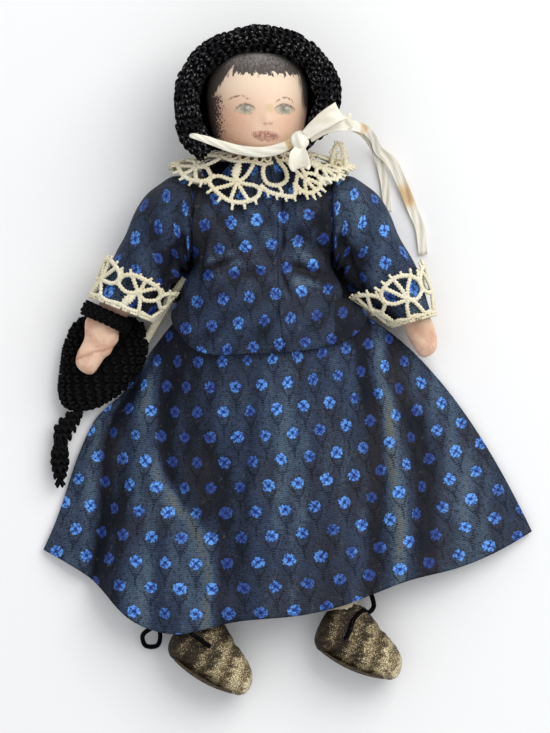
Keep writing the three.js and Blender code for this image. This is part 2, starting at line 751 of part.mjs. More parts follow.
// Ribbon tied under the chin, with a bow beside the left cheek
const bowZ = brimZ + BRIM_DEEP;
const chinY = headLow + 1.6;
const knotAt = [HEAD_X + 14, chinY + 3.4, bowZ + 2.4];
const chinRoute = [
  [HEAD_X - 22, chinY + 5.4, bowZ + 0.8],
  [HEAD_X - 18.5, chinY + 4.2, bowZ + 0.9],
  [HEAD_X - 13.5, chinY + 2.6, bowZ + 0.3],
  [HEAD_X - 7, chinY + 0.6, bowZ - 0.2],
  [HEAD_X + 1.5, chinY - 0.4, bowZ + 0.5],
  [HEAD_X + 7, chinY + 0.6, bowZ + 1.3],
  [HEAD_X + 10.2, chinY + 2.4, bowZ + 1.9],
];
const chinRibbon = ribbon(chinRoute, [3.4, 3.8, 4, 3.4], [[0.2, 1, 0], [0.1, 1, 0.25], [-0.1, 1, 0.2]]);
const ribbonKnot = ball(...knotAt, 3.4, 3.2, 2.6, 14, 8);

function fromKnot(x, y, z) {
  return [knotAt[0] + x, knotAt[1] + y, knotAt[2] + z];
}
const upperLoopRoute = [
  fromKnot(2.9, 2.6, 1.6),
  fromKnot(6, 5, 3.2),
  fromKnot(10.4, 8, 3.8),
  fromKnot(13.2, 9.6, 2.6),
  fromKnot(12.6, 9.2, 1.1),
  fromKnot(9, 6.8, 0.6),
  fromKnot(4.2, 3.6, 0.6),
];
const loopAcross = [[-0.6, 0.8, 0], [-0.6, 0.8, 0.1], [-0.6, 0.8, 0]];
const bowLoopUpper = ribbon(upperLoopRoute, [4.4, 6, 6.4, 6, 4.2], loopAcross);
const lowerLoopRoute = [
  fromKnot(0.2, -3.6, 0.9),
  fromKnot(0.8, -5.8, 1.7),
  fromKnot(1.2, -7.2, 0.6),
  fromKnot(1, -6, -0.9),
  fromKnot(0.4, -3.8, -0.7),
];
const bowLoopLower = ribbon(lowerLoopRoute, [3, 4.6, 4.6, 3], [[1, 0.2, 0], [1, 0.2, 0]], 14);

const tailShared = [
  fromKnot(4.1, 1.2, -1.9),
  fromKnot(8, 3.6, -1.7),
  fromKnot(13, 5, -2),
  fromKnot(16.4, 5.1, -5.4),
  fromKnot(18.8, 4.6, -11.5),
  fromKnot(21, 3.6, -19.5),
  fromKnot(23.2, 1.4, -27.5),
  fromKnot(25.4, -2.2, -32.2),
];
const tableZ = RIBBON_THICK / 2 + 0.3;
const liftedShared = tailShared.map(([x, y, z], i) => {
  const steep = smoothstep(i, 2, 4) * (1 - 0.5 * smoothstep(i, 6, 8));
  return [x + 1.6 * steep, y, z + 1.15 * (1 - 0.6 * steep)];
});
const longTailRoute = [
  ...liftedShared,
  [armX + 19.6, NECK_Y + 5.4, tableZ + 2],
  [armX + 23.6, NECK_Y - 2.6, tableZ + 0.8],
  [armX + 27, NECK_Y - 11, tableZ],
  [armX + 29.2, NECK_Y - 16.4, tableZ],
  [armX + 30.4, NECK_Y - 25.6, tableZ],
];
const shortTailRoute = [
  ...tailShared,
  [armX + 16, NECK_Y + 4.6, tableZ + 0.5],
  [armX + 17.4, NECK_Y - 1.4, tableZ],
  [armX + 18, NECK_Y - 6.4, tableZ],
  [armX + 18.6, NECK_Y - 11.4, tableZ],
];
const tailAcross = [[-0.4, 1, 0], [-0.2, 1, 0], [0.2, 1, 0], [0.8, 0.8, 0.2], [1, 0.4, 0.1], [1, 0.3, 0], [1, 0.1, 0]];
const ribbonTailLong = ribbon(longTailRoute, [3.4, RIBBON_WIDTH, RIBBON_WIDTH, RIBBON_WIDTH], tailAcross, 28);
const ribbonTailShort = ribbon(shortTailRoute, [3.4, 4.2, 4.2, 4], tailAcross, 24);

// Lace collar over the shoulders, meeting beside the front seam
const collarNeck = NECK_HALF + 2.6;
const collarReach = JACKET_HALF + 8;
const collarTop = NECK_Y + 5.4;
const collarJoin = 0.24;
const collarColumns = 44;
const collarGrid = [0, 0.34, 0.68, 1].map((out) =>
  Array.from({ length: collarColumns + 1 }, (none, c) => {
    const turn = collarJoin + 0.03 + (c / collarColumns) * (2 * Math.PI - 0.06);
    const ahead = Math.cos(turn);
    const scallop = 1 + 0.07 * out ** 3 * Math.abs(Math.cos(6.5 * (turn - collarJoin)));
    const reach = lerp(collarNeck, collarReach, out) * (ahead < 0 ? lerp(1, scallop, 0.4) : scallop);
    const fall = ahead > 0 ? 14.6 * ahead ** 2.2 : 6 * (-ahead) ** 1.2;
    const edgeY = NECK_Y + 3.6 - fall * scallop;
    const front = lerp(collarNeck + 0.6, JACKET_DEPTH + 2.4, out) + 1.4 * Math.sin(Math.PI * out);
    const back = lerp(collarNeck - 1, BODY_Z - LACE / 2 - 0.1, out);
    const z = BODY_Z + ahead * (ahead > 0 ? front : back);
    return new THREE.Vector3(reach * Math.sin(turn), lerp(collarTop, edgeY, out), z);
  }),
);
const collarLace = sheet(collarGrid, LACE);

// Crocheted bag under the right hand, its strap round the wrist and its corded tassel
const bagX = -(armX + 31.5);
const bagTop = SHOULDER_Y - 32.5;
const bagStations = [
  [2.6, 0.36, 0.3, 0],
  [2.4, 0.7, 0.55, 0.1],
  [1.6, 0.86, 0.86, 0.32],
  [0, 0.84, 1, 0.56],
  [-3, 0.68, 0.92, 0.8],
  [-5, 0.44, 0.6, 0.95],
  [-5.6, 0.16, 0.3, 1],
];
const bagLength = 2.1 * BAG_HALF;
const bagRings = bagStations.map(([shift, wide, thick, down]) => {
  const half = (thick * BAG_DEEP) / 2;
  const z = EASE + BAG_DEEP / 2;
  return bodyRing(wide * BAG_HALF, half, half, bagTop - down * bagLength, EASE, bagX + shift, z, 20);
});
const bagPouch = loft(bagRings);
const strapTurn = 0.42;
const strapThick = 1.2;
const strapRings = Array.from({ length: 20 }, (none, row) => {
  const around = (row / 20) * 2 * Math.PI;
  return Array.from({ length: 8 }, (unused, i) => {
    const turn = (i / 8) * 2 * Math.PI;
    const half = 7.6 + strapThick * Math.cos(turn);
    const across = half * Math.cos(around);
    const along = STRAP_HALF * Math.sin(turn);
    const x = armX + 28.4 + across * Math.cos(strapTurn) + along * Math.sin(strapTurn);
    const y = SHOULDER_Y - 33.6 + across * Math.sin(strapTurn) - along * Math.cos(strapTurn);
    const z = rightWristZ + (half - 1.7) * Math.sin(around);
    return new THREE.Vector3(-x, y, z);
  });
});
function closedLoop(rings) {
  const count = rings[0].length;
  const faces = [];
  rings.forEach((unused, row) => {
    const low = row * count;
    const high = ((row + 1) % rings.length) * count;
    for (let i = 0; i < count; i++) {
      const next = (i + 1) % count;
      quad(faces, low + i, low + next, high + next, high + i);
    }
  });
  return geometryFrom(rings.flat(), faces);
}
const bagStrap = closedLoop(strapRings);
const tasselTop = bagTop - bagLength - EASE;
const tasselShape = [
  [0, 1.1, 6.2],
  [1.8, 2.8, 8.2],
  [5.5, 3.6, 10.6],
  [9.5, 2.6, 12],
  [11.5, 1.7, 12.5],
  [13.5, 2.7, 12.6],
  [17.5, 3, 12.6],
  [21, 2, 12.6],
  [25, 1.1, 12.6],
];
const bagTassel = loft(
  tasselShape.map(([down, r, aside]) =>
    bodyRing(r, r, r, tasselTop - down, EASE, bagX - aside, EASE + 3.6, 12),
  ),
);

// Finished pieces with their colours
const doll = new THREE.Group();
doll.name = "oilcloth_doll";
const finishes = {
  brocade: [0x1f2a4a, 0.6],
  muslin: [0xd9c8ac, 0.9],
  skin: [0xe3b79a, 0.8],
  lace: [0xe9e2c9, 0.9],
  silk: [0xf3eedd, 0.5],
  crochet: [0x141416, 0.9],
  leather: [0x6a5a40, 0.6],
  sole: [0x3a2d22, 0.7],
};

function add(name, geometry, finish) {
  const [color, roughness] = finishes[finish];
  const material = new THREE.MeshStandardMaterial({ color, roughness, metalness: 0 });
  const mesh = new THREE.Mesh(geometry, material);
  mesh.name = name;
  doll.add(mesh);
}

add("torso_body", torsoBody, "muslin");
add("head", head, "skin");
add("right_arm", rightArm, "skin");
add("left_arm", leftArm, "skin");
add("right_leg", rightLeg, "muslin");
add("left_leg", leftLeg, "muslin");
add("right_shoe_upper", shoeUpper(rightFoot), "leather");
add("left_shoe_upper", shoeUpper(leftFoot), "leather");
add("right_shoe_sole", shoeSole(rightFoot), "sole");
add("left_shoe_sole", shoeSole(leftFoot), "sole");
add("right_shoe_lace", cord(rightLaceRoute, LACE_CORD), "crochet");
add("left_shoe_lace", cord(leftLaceRoute, LACE_CORD), "crochet");
add("skirt_front_panel", skirtFrontPanel, "brocade");
add("skirt_back_panel", skirtBackPanel, "brocade");
add("skirt_waistband", skirtWaistband, "brocade");
add("jacket_front_right", jacketFrontRight, "brocade");
add("jacket_front_left", jacketFrontLeft, "brocade");
add("jacket_back", jacketBack, "brocade");
add("right_sleeve", sleeve(-1, rightWristZ), "brocade");
add("left_sleeve", sleeve(1, leftWristZ), "brocade");
add("collar_lace", collarLace, "lace");
add("right_cuff_lace", cuff(-1, rightWristZ), "lace");
add("left_cuff_lace", cuff(1, leftWristZ), "lace");
add("bonnet_crown", bonnetCrown, "crochet");
add("bonnet_brim", bonnetBrim, "crochet");
add("chin_ribbon", chinRibbon, "silk");
add("ribbon_knot", ribbonKnot, "silk");
add("bow_loop_upper", bowLoopUpper, "silk");
add("bow_loop_lower", bowLoopLower, "silk");
add("ribbon_tail_long", ribbonTailLong, "silk");
add("ribbon_tail_short", ribbonTailShort, "silk");
add("bag_pouch", bagPouch, "crochet");
add("bag_strap", bagStrap, "crochet");
add("bag_tassel", bagTassel, "crochet");

export default doll;
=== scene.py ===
import math

import bpy
import numpy as np
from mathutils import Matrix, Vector


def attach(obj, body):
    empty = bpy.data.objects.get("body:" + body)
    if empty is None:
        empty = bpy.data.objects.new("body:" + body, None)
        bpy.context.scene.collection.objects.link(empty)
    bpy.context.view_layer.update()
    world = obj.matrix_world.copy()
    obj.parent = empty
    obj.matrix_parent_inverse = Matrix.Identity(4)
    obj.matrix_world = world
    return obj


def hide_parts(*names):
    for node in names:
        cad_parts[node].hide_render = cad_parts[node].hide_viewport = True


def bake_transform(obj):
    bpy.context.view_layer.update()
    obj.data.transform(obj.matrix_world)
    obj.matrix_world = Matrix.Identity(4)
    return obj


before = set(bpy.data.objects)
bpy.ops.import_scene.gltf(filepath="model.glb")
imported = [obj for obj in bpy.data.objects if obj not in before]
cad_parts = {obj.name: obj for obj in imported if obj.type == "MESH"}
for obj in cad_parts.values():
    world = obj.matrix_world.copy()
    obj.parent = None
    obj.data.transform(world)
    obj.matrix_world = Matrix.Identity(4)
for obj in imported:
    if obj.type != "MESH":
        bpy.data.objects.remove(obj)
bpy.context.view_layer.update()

# The doll lies on a white laminate table with a trace of sheen, which is no part of it. Soft
# window light falls from beyond its left shoulder, and it is seen straight from above.
scene = bpy.context.scene
scene.view_settings.view_transform = "Standard"


class Wire:
    """One socket of a material, so that shader maths reads as a plain expression."""

    def __init__(self, tree, socket):
        self.tree = tree
        self.socket = socket

    def node(self, kind, settings=(), inputs=(), out=0):
        made = self.tree.nodes.new(kind)
        for key, value in dict(settings).items():
            setattr(made, key, value)
        for key, value in dict(inputs).items():
            if isinstance(value, Wire):
                self.tree.links.new(value.socket, made.inputs[key])
            else:
                made.inputs[key].default_value = value
        return Wire(self.tree, made.outputs[out])

    def math(self, operation, *others):
        sockets = dict(enumerate((self, *others)))
        return self.node("ShaderNodeMath", {"operation": operation}, sockets)

    def __add__(self, other):
        return self.math("ADD", other)

    def __sub__(self, other):
        return self.math("SUBTRACT", other)

    def __rsub__(self, other):
        return self * -1 + other

    def __mul__(self, other):
        return self.math("MULTIPLY", other)

    def __truediv__(self, other):
        return self.math("DIVIDE", other)

    def __pow__(self, other):
        return self.math("POWER", other)

    def __abs__(self):
        return self.math("ABSOLUTE")

    __rmul__ = __mul__

    def sine(self):
        return self.math("SINE")

    def most(self, *others):
        """The largest of this value and others."""
        largest = self
        for other in others:
            largest = largest.math("MAXIMUM", other)
        return largest

    def step(self, low, high):
        """0 up to low, 1 from high on, and smooth between them."""
        settings = {"interpolation_type": "SMOOTHSTEP"}
        return self.node("ShaderNodeMapRange", settings, {0: self, 1: low, 2: high, 3: 0.0, 4: 1.0})

    def parts(self):
        return [self.node("ShaderNodeSeparateXYZ", (), {0: self}, axis) for axis in range(3)]

    def noise(self, scale, detail=3.0, stretch=(1, 1, 1)):
        drawn_out = self.node("ShaderNodeMapping", (), {"Vector": self, "Scale": stretch})
        sockets = {"Vector": drawn_out, "Scale": scale, "Detail": detail}
        return self.node("ShaderNodeTexNoise", {"noise_dimensions": "3D"}, sockets)

    def tint(self, under, over):
        """The colour under where this mask is 0, and the colour over where it is 1."""
        colours = [c if isinstance(c, Wire) else (*c, 1) for c in (under, over)]
        return self.node("ShaderNodeMix", {"data_type": "RGBA"}, {0: self, 6: colours[0], 7: colours[1]}, 2)


class Finish:
    """A procedural material: its main shader, and the ways to read a place on the piece."""

    def __init__(self, name, specular):
        self.material = bpy.data.materials.new(name)
        self.material.use_nodes = True
        tree = self.material.node_tree
        self.shader = tree.nodes["Principled BSDF"]
        self.feed("Specular IOR Level", specular)
        place = tree.nodes.new("ShaderNodeTexCoord")
        self.place = Wire(tree, place.outputs["Object"])
        self.flat = Wire(tree, place.outputs["UV"])

    def measured(self):
        """The place along each axis in millimetres."""
        return [part * 1000.0 for part in self.place.parts()]

    def told(self, name):
        """The value that is noted at each point of the piece under this name."""
        return self.place.node("ShaderNodeAttribute", {"attribute_name": name}, (), 2)

    def feed(self, socket, value):
        if isinstance(value, Wire):
            value.tree.links.new(value.socket, self.shader.inputs[socket])
        else:
            self.shader.inputs[socket].default_value = value

    def coat(self, colour, roughness, height, strength, depth):
        """Gives the shader its colour and roughness, and a relief of this height, strength and depth."""
        self.feed("Base Color", colour)
        self.feed("Roughness", roughness)
        sockets = {"Height": height, "Strength": strength, "Distance": depth}
        self.feed("Normal", height.node("ShaderNodeBump", (), sockets))


def added(name, primitive, **settings):
    """A new primitive mesh under its own name."""
    bpy.ops.object.select_all(action="DESELECT")
    primitive(**settings)
    piece = bpy.context.object
    piece.name = piece.data.name = name
    return piece


laminate = Finish("white_laminate", 0.1)
laminate_cloud = laminate.place.noise(3, 2)
laminate.feed("Base Color", (laminate_cloud * 0.25).tint((0.93, 0.935, 0.94), (0.90, 0.905, 0.915)))
laminate.feed("Roughness", 0.7)
table = added("white_table", bpy.ops.mesh.primitive_plane_add, size=8, location=(0, 0, -0.0005))
table.data.materials.append(laminate.material)

room = bpy.data.worlds.new("pale_room")
room.use_nodes = True
room_light = room.node_tree.nodes["Background"].inputs
room_light["Color"].default_value = (0.97, 0.98, 1.0, 1)
room_light["Strength"].default_value = 0.70
scene.world = room

bpy.ops.object.light_add(type="AREA", location=(0.55, 0.62, 0.85))
window = bpy.context.object
window.name = "window_light"
window.data.size = 1.0
window.data.energy = 9.0
window.data.color = (1.0, 0.985, 0.96)
doll_middle = Vector((0, 0.02, 0))
window.rotation_euler = (doll_middle - window.location).to_track_quat("-Z", "Y").to_euler()

view_height = 2.0
middle_height = 0.014
seen_height = 0.2443
sensor = 36
bpy.ops.object.camera_add(location=(0.00433, 0.00783, view_height), rotation=(0, 0, 0))
scene.camera = bpy.context.object
scene.camera.data.sensor_width = sensor
scene.camera.data.lens = sensor * (view_height - middle_height) / seen_height
scene.camera.data.clip_end = 50

# The stuffed body under the clothes is a plain muslin bag packed with wadding: a trunk that
# narrows to the neck, sewn shut at its ends.


def points_of(piece):
    points = np.empty(len(piece.data.vertices) * 3, np.float32)
    piece.data.vertices.foreach_get("co", points)
    return points.reshape(-1, 3).astype(float)


def lay(piece, points):
    """Puts a piece's points at places given in millimetres."""
    piece.data.vertices.foreach_set("co", (np.asarray(points) * 0.001).astype(np.float32).ravel())
    piece.data.update()


def through(table, share):
    """A table's columns at shares of its length, on a smooth curve through its rows."""
    rows = np.asarray(table, float)
    last = len(rows) - 1
    place = np.clip(share, 0, 1) * last
    low = np.minimum(place.astype(int), last - 1)
    t = (place - low)[:, None]
    a, b, c, d = [rows[np.clip(low + step, 0, last)] for step in (-1, 0, 1, 2)]
    curve = 2 * b + (c - a) * t + (2 * a - 5 * b + 4 * c - d) * t**2 + (3 * b - a - 3 * c + d) * t**3
    return (curve / 2).T


def rounded(share, cap):
    """Shrinks a stuffed shape to a round end within the first and last share of its length."""
    near = np.clip(np.minimum(share, 1 - share) / cap, 0, 1)
    return np.sqrt(np.clip(1 - (1 - near) ** 2, 0, 1))


def face_out(weld=0.0):
    """Turns the active piece's faces outward, once points closer than weld are merged."""
    bpy.ops.object.mode_set(mode="EDIT")
    bpy.ops.mesh.select_all(action="SELECT")
    if weld:
        bpy.ops.mesh.remove_doubles(threshold=weld)
    bpy.ops.mesh.normals_make_consistent(inside=False)
    bpy.ops.object.mode_set(mode="OBJECT")


def stuffed(name, around, along, place):
    """A closed stuffed shape: a ball whose rings are drawn out along the limb."""
    piece = added(name, bpy.ops.mesh.primitive_uv_sphere_add, segments=around, ring_count=along, radius=1)
    ball = points_of(piece)
    share = np.arccos(np.clip(-ball[:, 2], -1, 1)) / np.pi
    lay(piece, place(np.arctan2(ball[:, 1], ball[:, 0]), share))
    face_out()
    bpy.ops.object.shade_smooth()
    return piece


def dress(piece, finish, node, body=None):
    """Gives a piece its finish, the solid it stands for and the body it rides on."""
    piece.data.materials.clear()
    piece.data.materials.append(finish.material)
    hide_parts(node)
    if body:
        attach(piece, body)


muslin = Finish("muslin", 0.15)
thread_x, thread_y = muslin.measured()[:2]
muslin_weave = (thread_x * 9.0).sine() * (thread_y * 9.0).sine() * 0.5 + 0.5
muslin_age = muslin.place.noise(60, 4)
muslin_tone = muslin_age.step(0.35, 0.75).tint((0.68, 0.57, 0.42), (0.50, 0.39, 0.26))
muslin_tone = (muslin_weave * 0.25).tint(muslin_tone, (0.30, 0.23, 0.15))
muslin.coat(muslin_tone, muslin_weave * 0.1 + 0.85, muslin_weave + muslin_age * 0.6, 0.35, 0.0002)

spine_z = 13.6
trunk_under = 3.7
# Half the width, half the depth and the place up the body, from the hips to the neck.
torso_table = [
    [17, 8, 8.4], [20, 9.6, 13.4], [20, 9.6, 31], [15.5, 10, 46],
    [15.5, 10, 62.5], [11, 8, 68], [7, 6.6, 72], [7, 6.6, 77],
]


def torso_place(turn, share):
    half, deep, y = through(torso_table, share)
    pull = rounded(share, 0.07)
    z = spine_z + deep * pull * np.cos(turn)
    return np.stack([half * pull * np.sin(turn), y, np.maximum(z, trunk_under)], 1)


torso = stuffed("stuffed_trunk", 64, 48, torso_place)
dress(torso, muslin, "torso_body", "torso")

# The head is a stuffed cloth ball painted in oils: a pale peach face with a small nose, grey
# eyes, thin brows and rose lips, and grey-black hair brushed on round the brow and right cheek.
head_half = 16.8
head_x, head_z = -1.5, 19
head_low, head_tall = 77.4, 35.8
# Width, depth to the face and depth to the back as shares of half the head, and the place up it.
head_table = [
    [0.3, 0.3, 0.24, 0], [0.57, 0.54, 0.42, 0.035], [0.78, 0.75, 0.6, 0.12], [0.93, 0.87, 0.72, 0.26],
    [1, 0.9, 0.78, 0.46], [1, 0.87, 0.78, 0.66], [0.87, 0.75, 0.68, 0.83], [0.6, 0.54, 0.5, 0.94],
    [0.25, 0.24, 0.24, 1],
]
# Height, middle, width and length of the nose and its bridge, lips, chin and both eye sockets.
face_relief = [
    (1.1, (2, 89.2), 1.9, 2.6), (0.35, (2.2, 93), 1.5, 3.5), (0.45, (1.2, 84.2), 3.6, 1.3),
    (0.5, (1.2, 80.6), 4, 2), (-0.5, (-5.2, 92.8), 3, 2), (-0.5, (7.4, 92.8), 3, 2),
]


def hump(x, y, at, wide, tall):
    return np.exp(-(((x - at[0]) / wide) ** 2) - ((y - at[1]) / tall) ** 2)


def head_place(turn, share):
    wide, front, back, up = through(head_table, share)
    pull = rounded(share, 0.06)
    lift = np.cos(turn)
    x = head_x + head_half * wide * pull * np.sin(turn)
    y = head_low + up * head_tall
    z = head_z + head_half * pull * lift * np.where(lift > 0, front, back)
    relief = sum(height * hump(x, y, *shape) for height, *shape in face_relief)
    return np.stack([x, y, z + np.clip(lift, 0, 1) * relief], 1)


skin = Finish("painted_cloth", 0.2)
face_x, face_y, face_z = skin.measured()
skin_weave = (face_x * 9.0).sine() * 0.25 + (face_y * 12.0).sine() * 0.25 + 0.5
skin_grain = skin.place.noise(1500, 3)
brush = skin.place.noise(330, 4)
blush = skin.place.noise(130, 2)
drag = skin.place.noise(900, 2)
hand_x = face_x + (drag - 0.5) * 1.5
hand_y = face_y + (skin_grain - 0.5) * 1.3


def spot(at, wide, tall, soft):
    """An oval painted patch on the face, in millimetres, with a hand-painted edge."""
    far = ((hand_x - at[0]) / wide) ** 2.0 + ((hand_y - at[1]) / tall) ** 2.0
    return far.step(1 + soft, 1 - soft)


def brow(at, curl, half, thick):
    """A thin painted arc that curls down to both sides of its top, broken by the weave."""
    away = hand_x - at[0]
    off = abs(hand_y - (at[1] - curl * away * away))
    return off.step(thick, thick * 0.3) * abs(away).step(half, half * 0.75) * skin_grain.step(0.36, 0.52)


def layered(tone, layers):
    """Lays colours over a tone, each where its mask says and at its own strength."""
    for mask, strength, colour in layers:
        tone = (mask * strength).tint(tone, colour)
    return tone


flesh = blush.step(0.3, 0.7).tint((0.88, 0.645, 0.475), (0.84, 0.575, 0.415))
# The face is painted darker towards the doll's right side, as painted shade.
flesh = face_x.step(-15, 4).tint((0.72, 0.45, 0.31), flesh)
nostril = (0.56, 0.26, 0.21)
# Each painted mark has its shape, strength and colour, and lies over the ones before it.
marks = [
    (face_y.step(91, 103), 0.8, (0.93, 0.765, 0.59)),
    (spot((-9.5, 86.5), 6.5, 6.5, 0.9), 0.35, (0.66, 0.33, 0.22)),
    (spot((10, 87.5), 4.5, 5, 0.9), 0.3, (0.80, 0.46, 0.31)),
    # The olive patch on the bridge of the nose is painted shade, and the pale patch on its tip a painted
    # highlight.
    (spot((2.5, 93.0), 1.2, 1.7, 0.9), 0.45, (0.60, 0.49, 0.22)),
    (spot((1.9, 89.5), 1.4, 2.4, 0.9), 0.35, (0.90, 0.66, 0.50)),
    (spot((1.1, 87.9), 0.8, 0.5, 0.7), 0.6, nostril),
    (spot((2.8, 88.0), 0.8, 0.5, 0.7), 0.6, nostril),
]
eye_y = 92.8
for eye_x in (-5.4, 7.4):
    marks.extend([
        (spot((eye_x, eye_y), 3.3, 1.6, 0.4), 0.65, (0.45, 0.43, 0.33)),
        (spot((eye_x + 0.1, eye_y + 0.1), 1.7, 1.5, 0.5), 0.7, (0.22, 0.26, 0.22)),
        (spot((eye_x + 0.1, eye_y + 0.2), 0.8, 0.75, 0.7), 0.55, (0.10, 0.11, 0.10)),
        (spot((eye_x + 0.8, eye_y + 0.4), 0.7, 0.5, 0.7), 0.7, (0.66, 0.66, 0.58)),
        (brow((eye_x, eye_y + 1.7), 0.15, 3.7, 0.6), 0.85, (0.16, 0.12, 0.10)),
        (brow((eye_x, eye_y - 1.7), -0.1, 2.6, 0.4), 0.4, (0.32, 0.22, 0.16)),
    ])
mouth_x, mouth_y = hand_x - 1.2, hand_y - 84.0
lip = ((mouth_x / 4.6) ** 2.0 + ((mouth_y + mouth_x * 0.06) / 1.75) ** 2.0).step(1.35, 0.6)
freckle = skin.place.noise(1900, 1).step(0.62, 0.7) * face_x.step(2, -12) * face_y.step(97, 90)
marks.extend([
    (brow((-7.5, 97.2), 0.10, 3.7, 0.5), 0.9, (0.22, 0.13, 0.10)),
    (brow((7.6, 96.7), 0.19, 3.3, 0.5), 0.8, (0.26, 0.17, 0.12)),
    (lip, 0.55, (0.52, 0.24, 0.19)),
    (lip * (skin_grain + drag * 0.5).step(0.7, 0.86), 0.75, (0.33, 0.12, 0.10)),
    (brow((1.2, 84.4), 0.03, 4.3, 0.45), 0.6, (0.24, 0.085, 0.075)),
    (freckle, 0.5, (0.50, 0.25, 0.17)),
    (skin_weave, 0.16, (0.45, 0.27, 0.19)),
    (skin_grain.step(0.62, 0.75), 0.25, (0.93, 0.77, 0.61)),
])
flesh = layered(flesh, marks)
strand = skin.place.noise(1500, 3, (1.3, 0.16, 1))
teeth = skin.place.noise(1500, 2, (0.5, 0.09, 1))
jag = (teeth - 0.5) * 6.5 + (strand - 0.5) * 3.0
fringe = (face_y + jag - 104.4).step(-0.35, 0.35) * (face_x + jag * 0.2).step(-10.0, -9.2)
temple = (face_y - face_x * 1.45 + jag * 0.6 - 120.6).step(-0.5, 0.5)
left_temple = (face_x + jag * 0.3 + (face_y - 97) * 0.12 - 12.6).step(-0.4, 1.4) * face_y.step(91, 95)
stipple = (skin.place.noise(1700, 2) + (face_x + 12.4) * -0.085 - 0.62).step(-0.05, 0.06)
sideburn = stipple * face_y.step(98.5, 96.5)
crown_back = face_z.step(23.5, 20.5)
hair = fringe.most(temple, left_temple, sideburn, crown_back)
hair_tone = (strand * 0.9 + (face_y - 107.5) * 0.07).step(0.3, 0.95)
hair_tone = hair_tone.tint((0.045, 0.043, 0.047), (0.34, 0.325, 0.32))
hair_tone = face_x.step(-10.5, -14.5).tint(hair_tone, (0.035, 0.030, 0.028))
skin_relief = skin_weave * 0.7 + brush * 0.4 + skin_grain * 0.6
skin_roughness = hair * 0.15 + skin_grain * 0.2 + 0.5
skin.coat((hair * 0.94).tint(flesh, hair_tone), skin_roughness, skin_relief, 0.4, 0.00025)

head = stuffed("painted_head", 128, 96, head_place)
dress(head, skin, "head", "head")

# The arms are slim stuffed tubes that end in mitten hands of the same painted cloth, with the
# right thumb sewn on at the side. Oil paint on them is worn and mottled, and darker along a
# line across the right hand.
wrist_z = {-1: 13.4, 1: 10.4}
hand_slope = 0.57
# Middle, half width, half depth and slope of each round, and its share of the drop to the wrist.
arm_table = [
    [15.9, 57.5, 9.5, 9.5, 1.57, 0], [22.6, 57.5, 9.5, 9.5, 1.57, 0], [29.6, 55.5, 8.5, 8.5, 1.1, 0.1],
    [35, 48.5, 7.3, 7.1, 0.75, 0.35], [40.1, 40, 6.5, 6.1, 0.6, 0.65], [45.1, 32, 5.9, 5.5, 0.57, 0.9],
]
right_hand = [[51.2, 24.5, 5, 4.2], [53.4, 19.8, 6.5, 4], [55.3, 14.8, 4.7, 3.4], [57.9, 10.2, 4.3, 3.5],
              [59.8, 5.9, 3.4, 2.6]]
left_hand = [[50.2, 24.9, 4.6, 4], [52.4, 20.9, 4.8, 3.8], [54.4, 16.5, 4.4, 3.4], [56.2, 11.5, 3, 2.5]]
thumb_x, thumb_y = -51.6, 15.8
thumb_half, thumb_deep, thumb_long = 2.5, 2.7, 5


def arm_piece(name, side, hand):
    table = arm_table + [[*row, hand_slope, 1] for row in hand]

    def place(turn, share):
        x, y, half, deep, slope, low = through(table, share)
        pull = rounded(share, 0.06)
        across = half * pull * np.cos(turn)
        z = spine_z + (wrist_z[side] - spine_z) * low + deep * pull * np.sin(turn)
        return np.stack([side * (x + across * np.cos(slope)), y + across * np.sin(slope), z], 1)

    return stuffed(name, 40, 96, place)


def thumb_place(turn, share):
    along = (share - 0.5) * 2
    pull = np.sqrt(np.clip(1 - along**2, 0, 1))
    x = thumb_x - 0.8 * along + thumb_half * pull * np.cos(turn)
    z = spine_z + thumb_deep * pull * np.sin(turn)
    return np.stack([x, thumb_y - thumb_long * along, z], 1)


def join(piece, extra):
    """Makes an extra mesh part of a piece, which is left active."""
    bpy.ops.object.select_all(action="DESELECT")
    extra.select_set(True)
    piece.select_set(True)
    bpy.context.view_layer.objects.active = piece
    bpy.ops.object.join()


def modify(piece, kind, **settings):
    """Adds one modifier to a piece and applies it."""
    step = piece.modifiers.new(kind, kind)
    for key, value in settings.items():
        setattr(step, key, value)
    bpy.context.view_layer.objects.active = piece
    bpy.ops.object.modifier_apply(modifier=step.name)


right_arm = arm_piece("right_hand_and_arm", -1, right_hand)
join(right_arm, stuffed("right_thumb", 20, 16, thumb_place))
modify(right_arm, "REMESH", mode="VOXEL", voxel_size=0.0006, use_smooth_shade=True)
modify(right_arm, "SMOOTH", iterations=3)
left_arm = arm_piece("left_hand_and_arm", 1, left_hand)
mitten = Finish("painted_mitten", 0.25)
mitten_x, mitten_y = mitten.measured()[:2]
mitten_wear = mitten.place.noise(240, 5)
mitten_stain = mitten.place.noise(90, 3)
mitten_fleck = mitten.place.noise(1400, 2)
mitten_tone = mitten_wear.step(0.35, 0.7).tint((0.80, 0.55, 0.40), (0.62, 0.36, 0.25))
knuckle = abs(mitten_y - 13.2 - (mitten_x + 54.0) * 0.35 + (mitten_wear - 0.5) * 3.0).step(0.9, 0.1)
mitten_tone = layered(mitten_tone, [
    (mitten_stain.step(0.5, 0.7), 0.6, (0.86, 0.66, 0.48)),
    (mitten_fleck.step(0.62, 0.72), 0.5, (0.40, 0.21, 0.15)),
    (knuckle * mitten_x.step(-47.0, -50.0), 0.6, (0.42, 0.22, 0.15)),
])
mitten.coat(mitten_tone, mitten_wear * 0.3 + 0.42, mitten_wear + mitten_fleck * 0.4, 0.5, 0.0004)
for arm, node in [(right_arm, "right_arm"), (left_arm, "left_arm")]:
    dress(arm, mitten, node, node)

# The legs are stuffed muslin tubes from the hips to the feet, which lie on their sides with
# both toes towards the doll's left.
foot_half = 5.7
foot_height = 14
shoe_length = 30
foot_z = 8.2
hip_x = 10.5
leg_under = 1.3
feet = {
    "right": {"heel": (-31.5, -86.6), "toward": -0.52, "side": -1},
    "left": {"heel": (17.5, -84.4), "toward": -0.4, "side": 1},
}


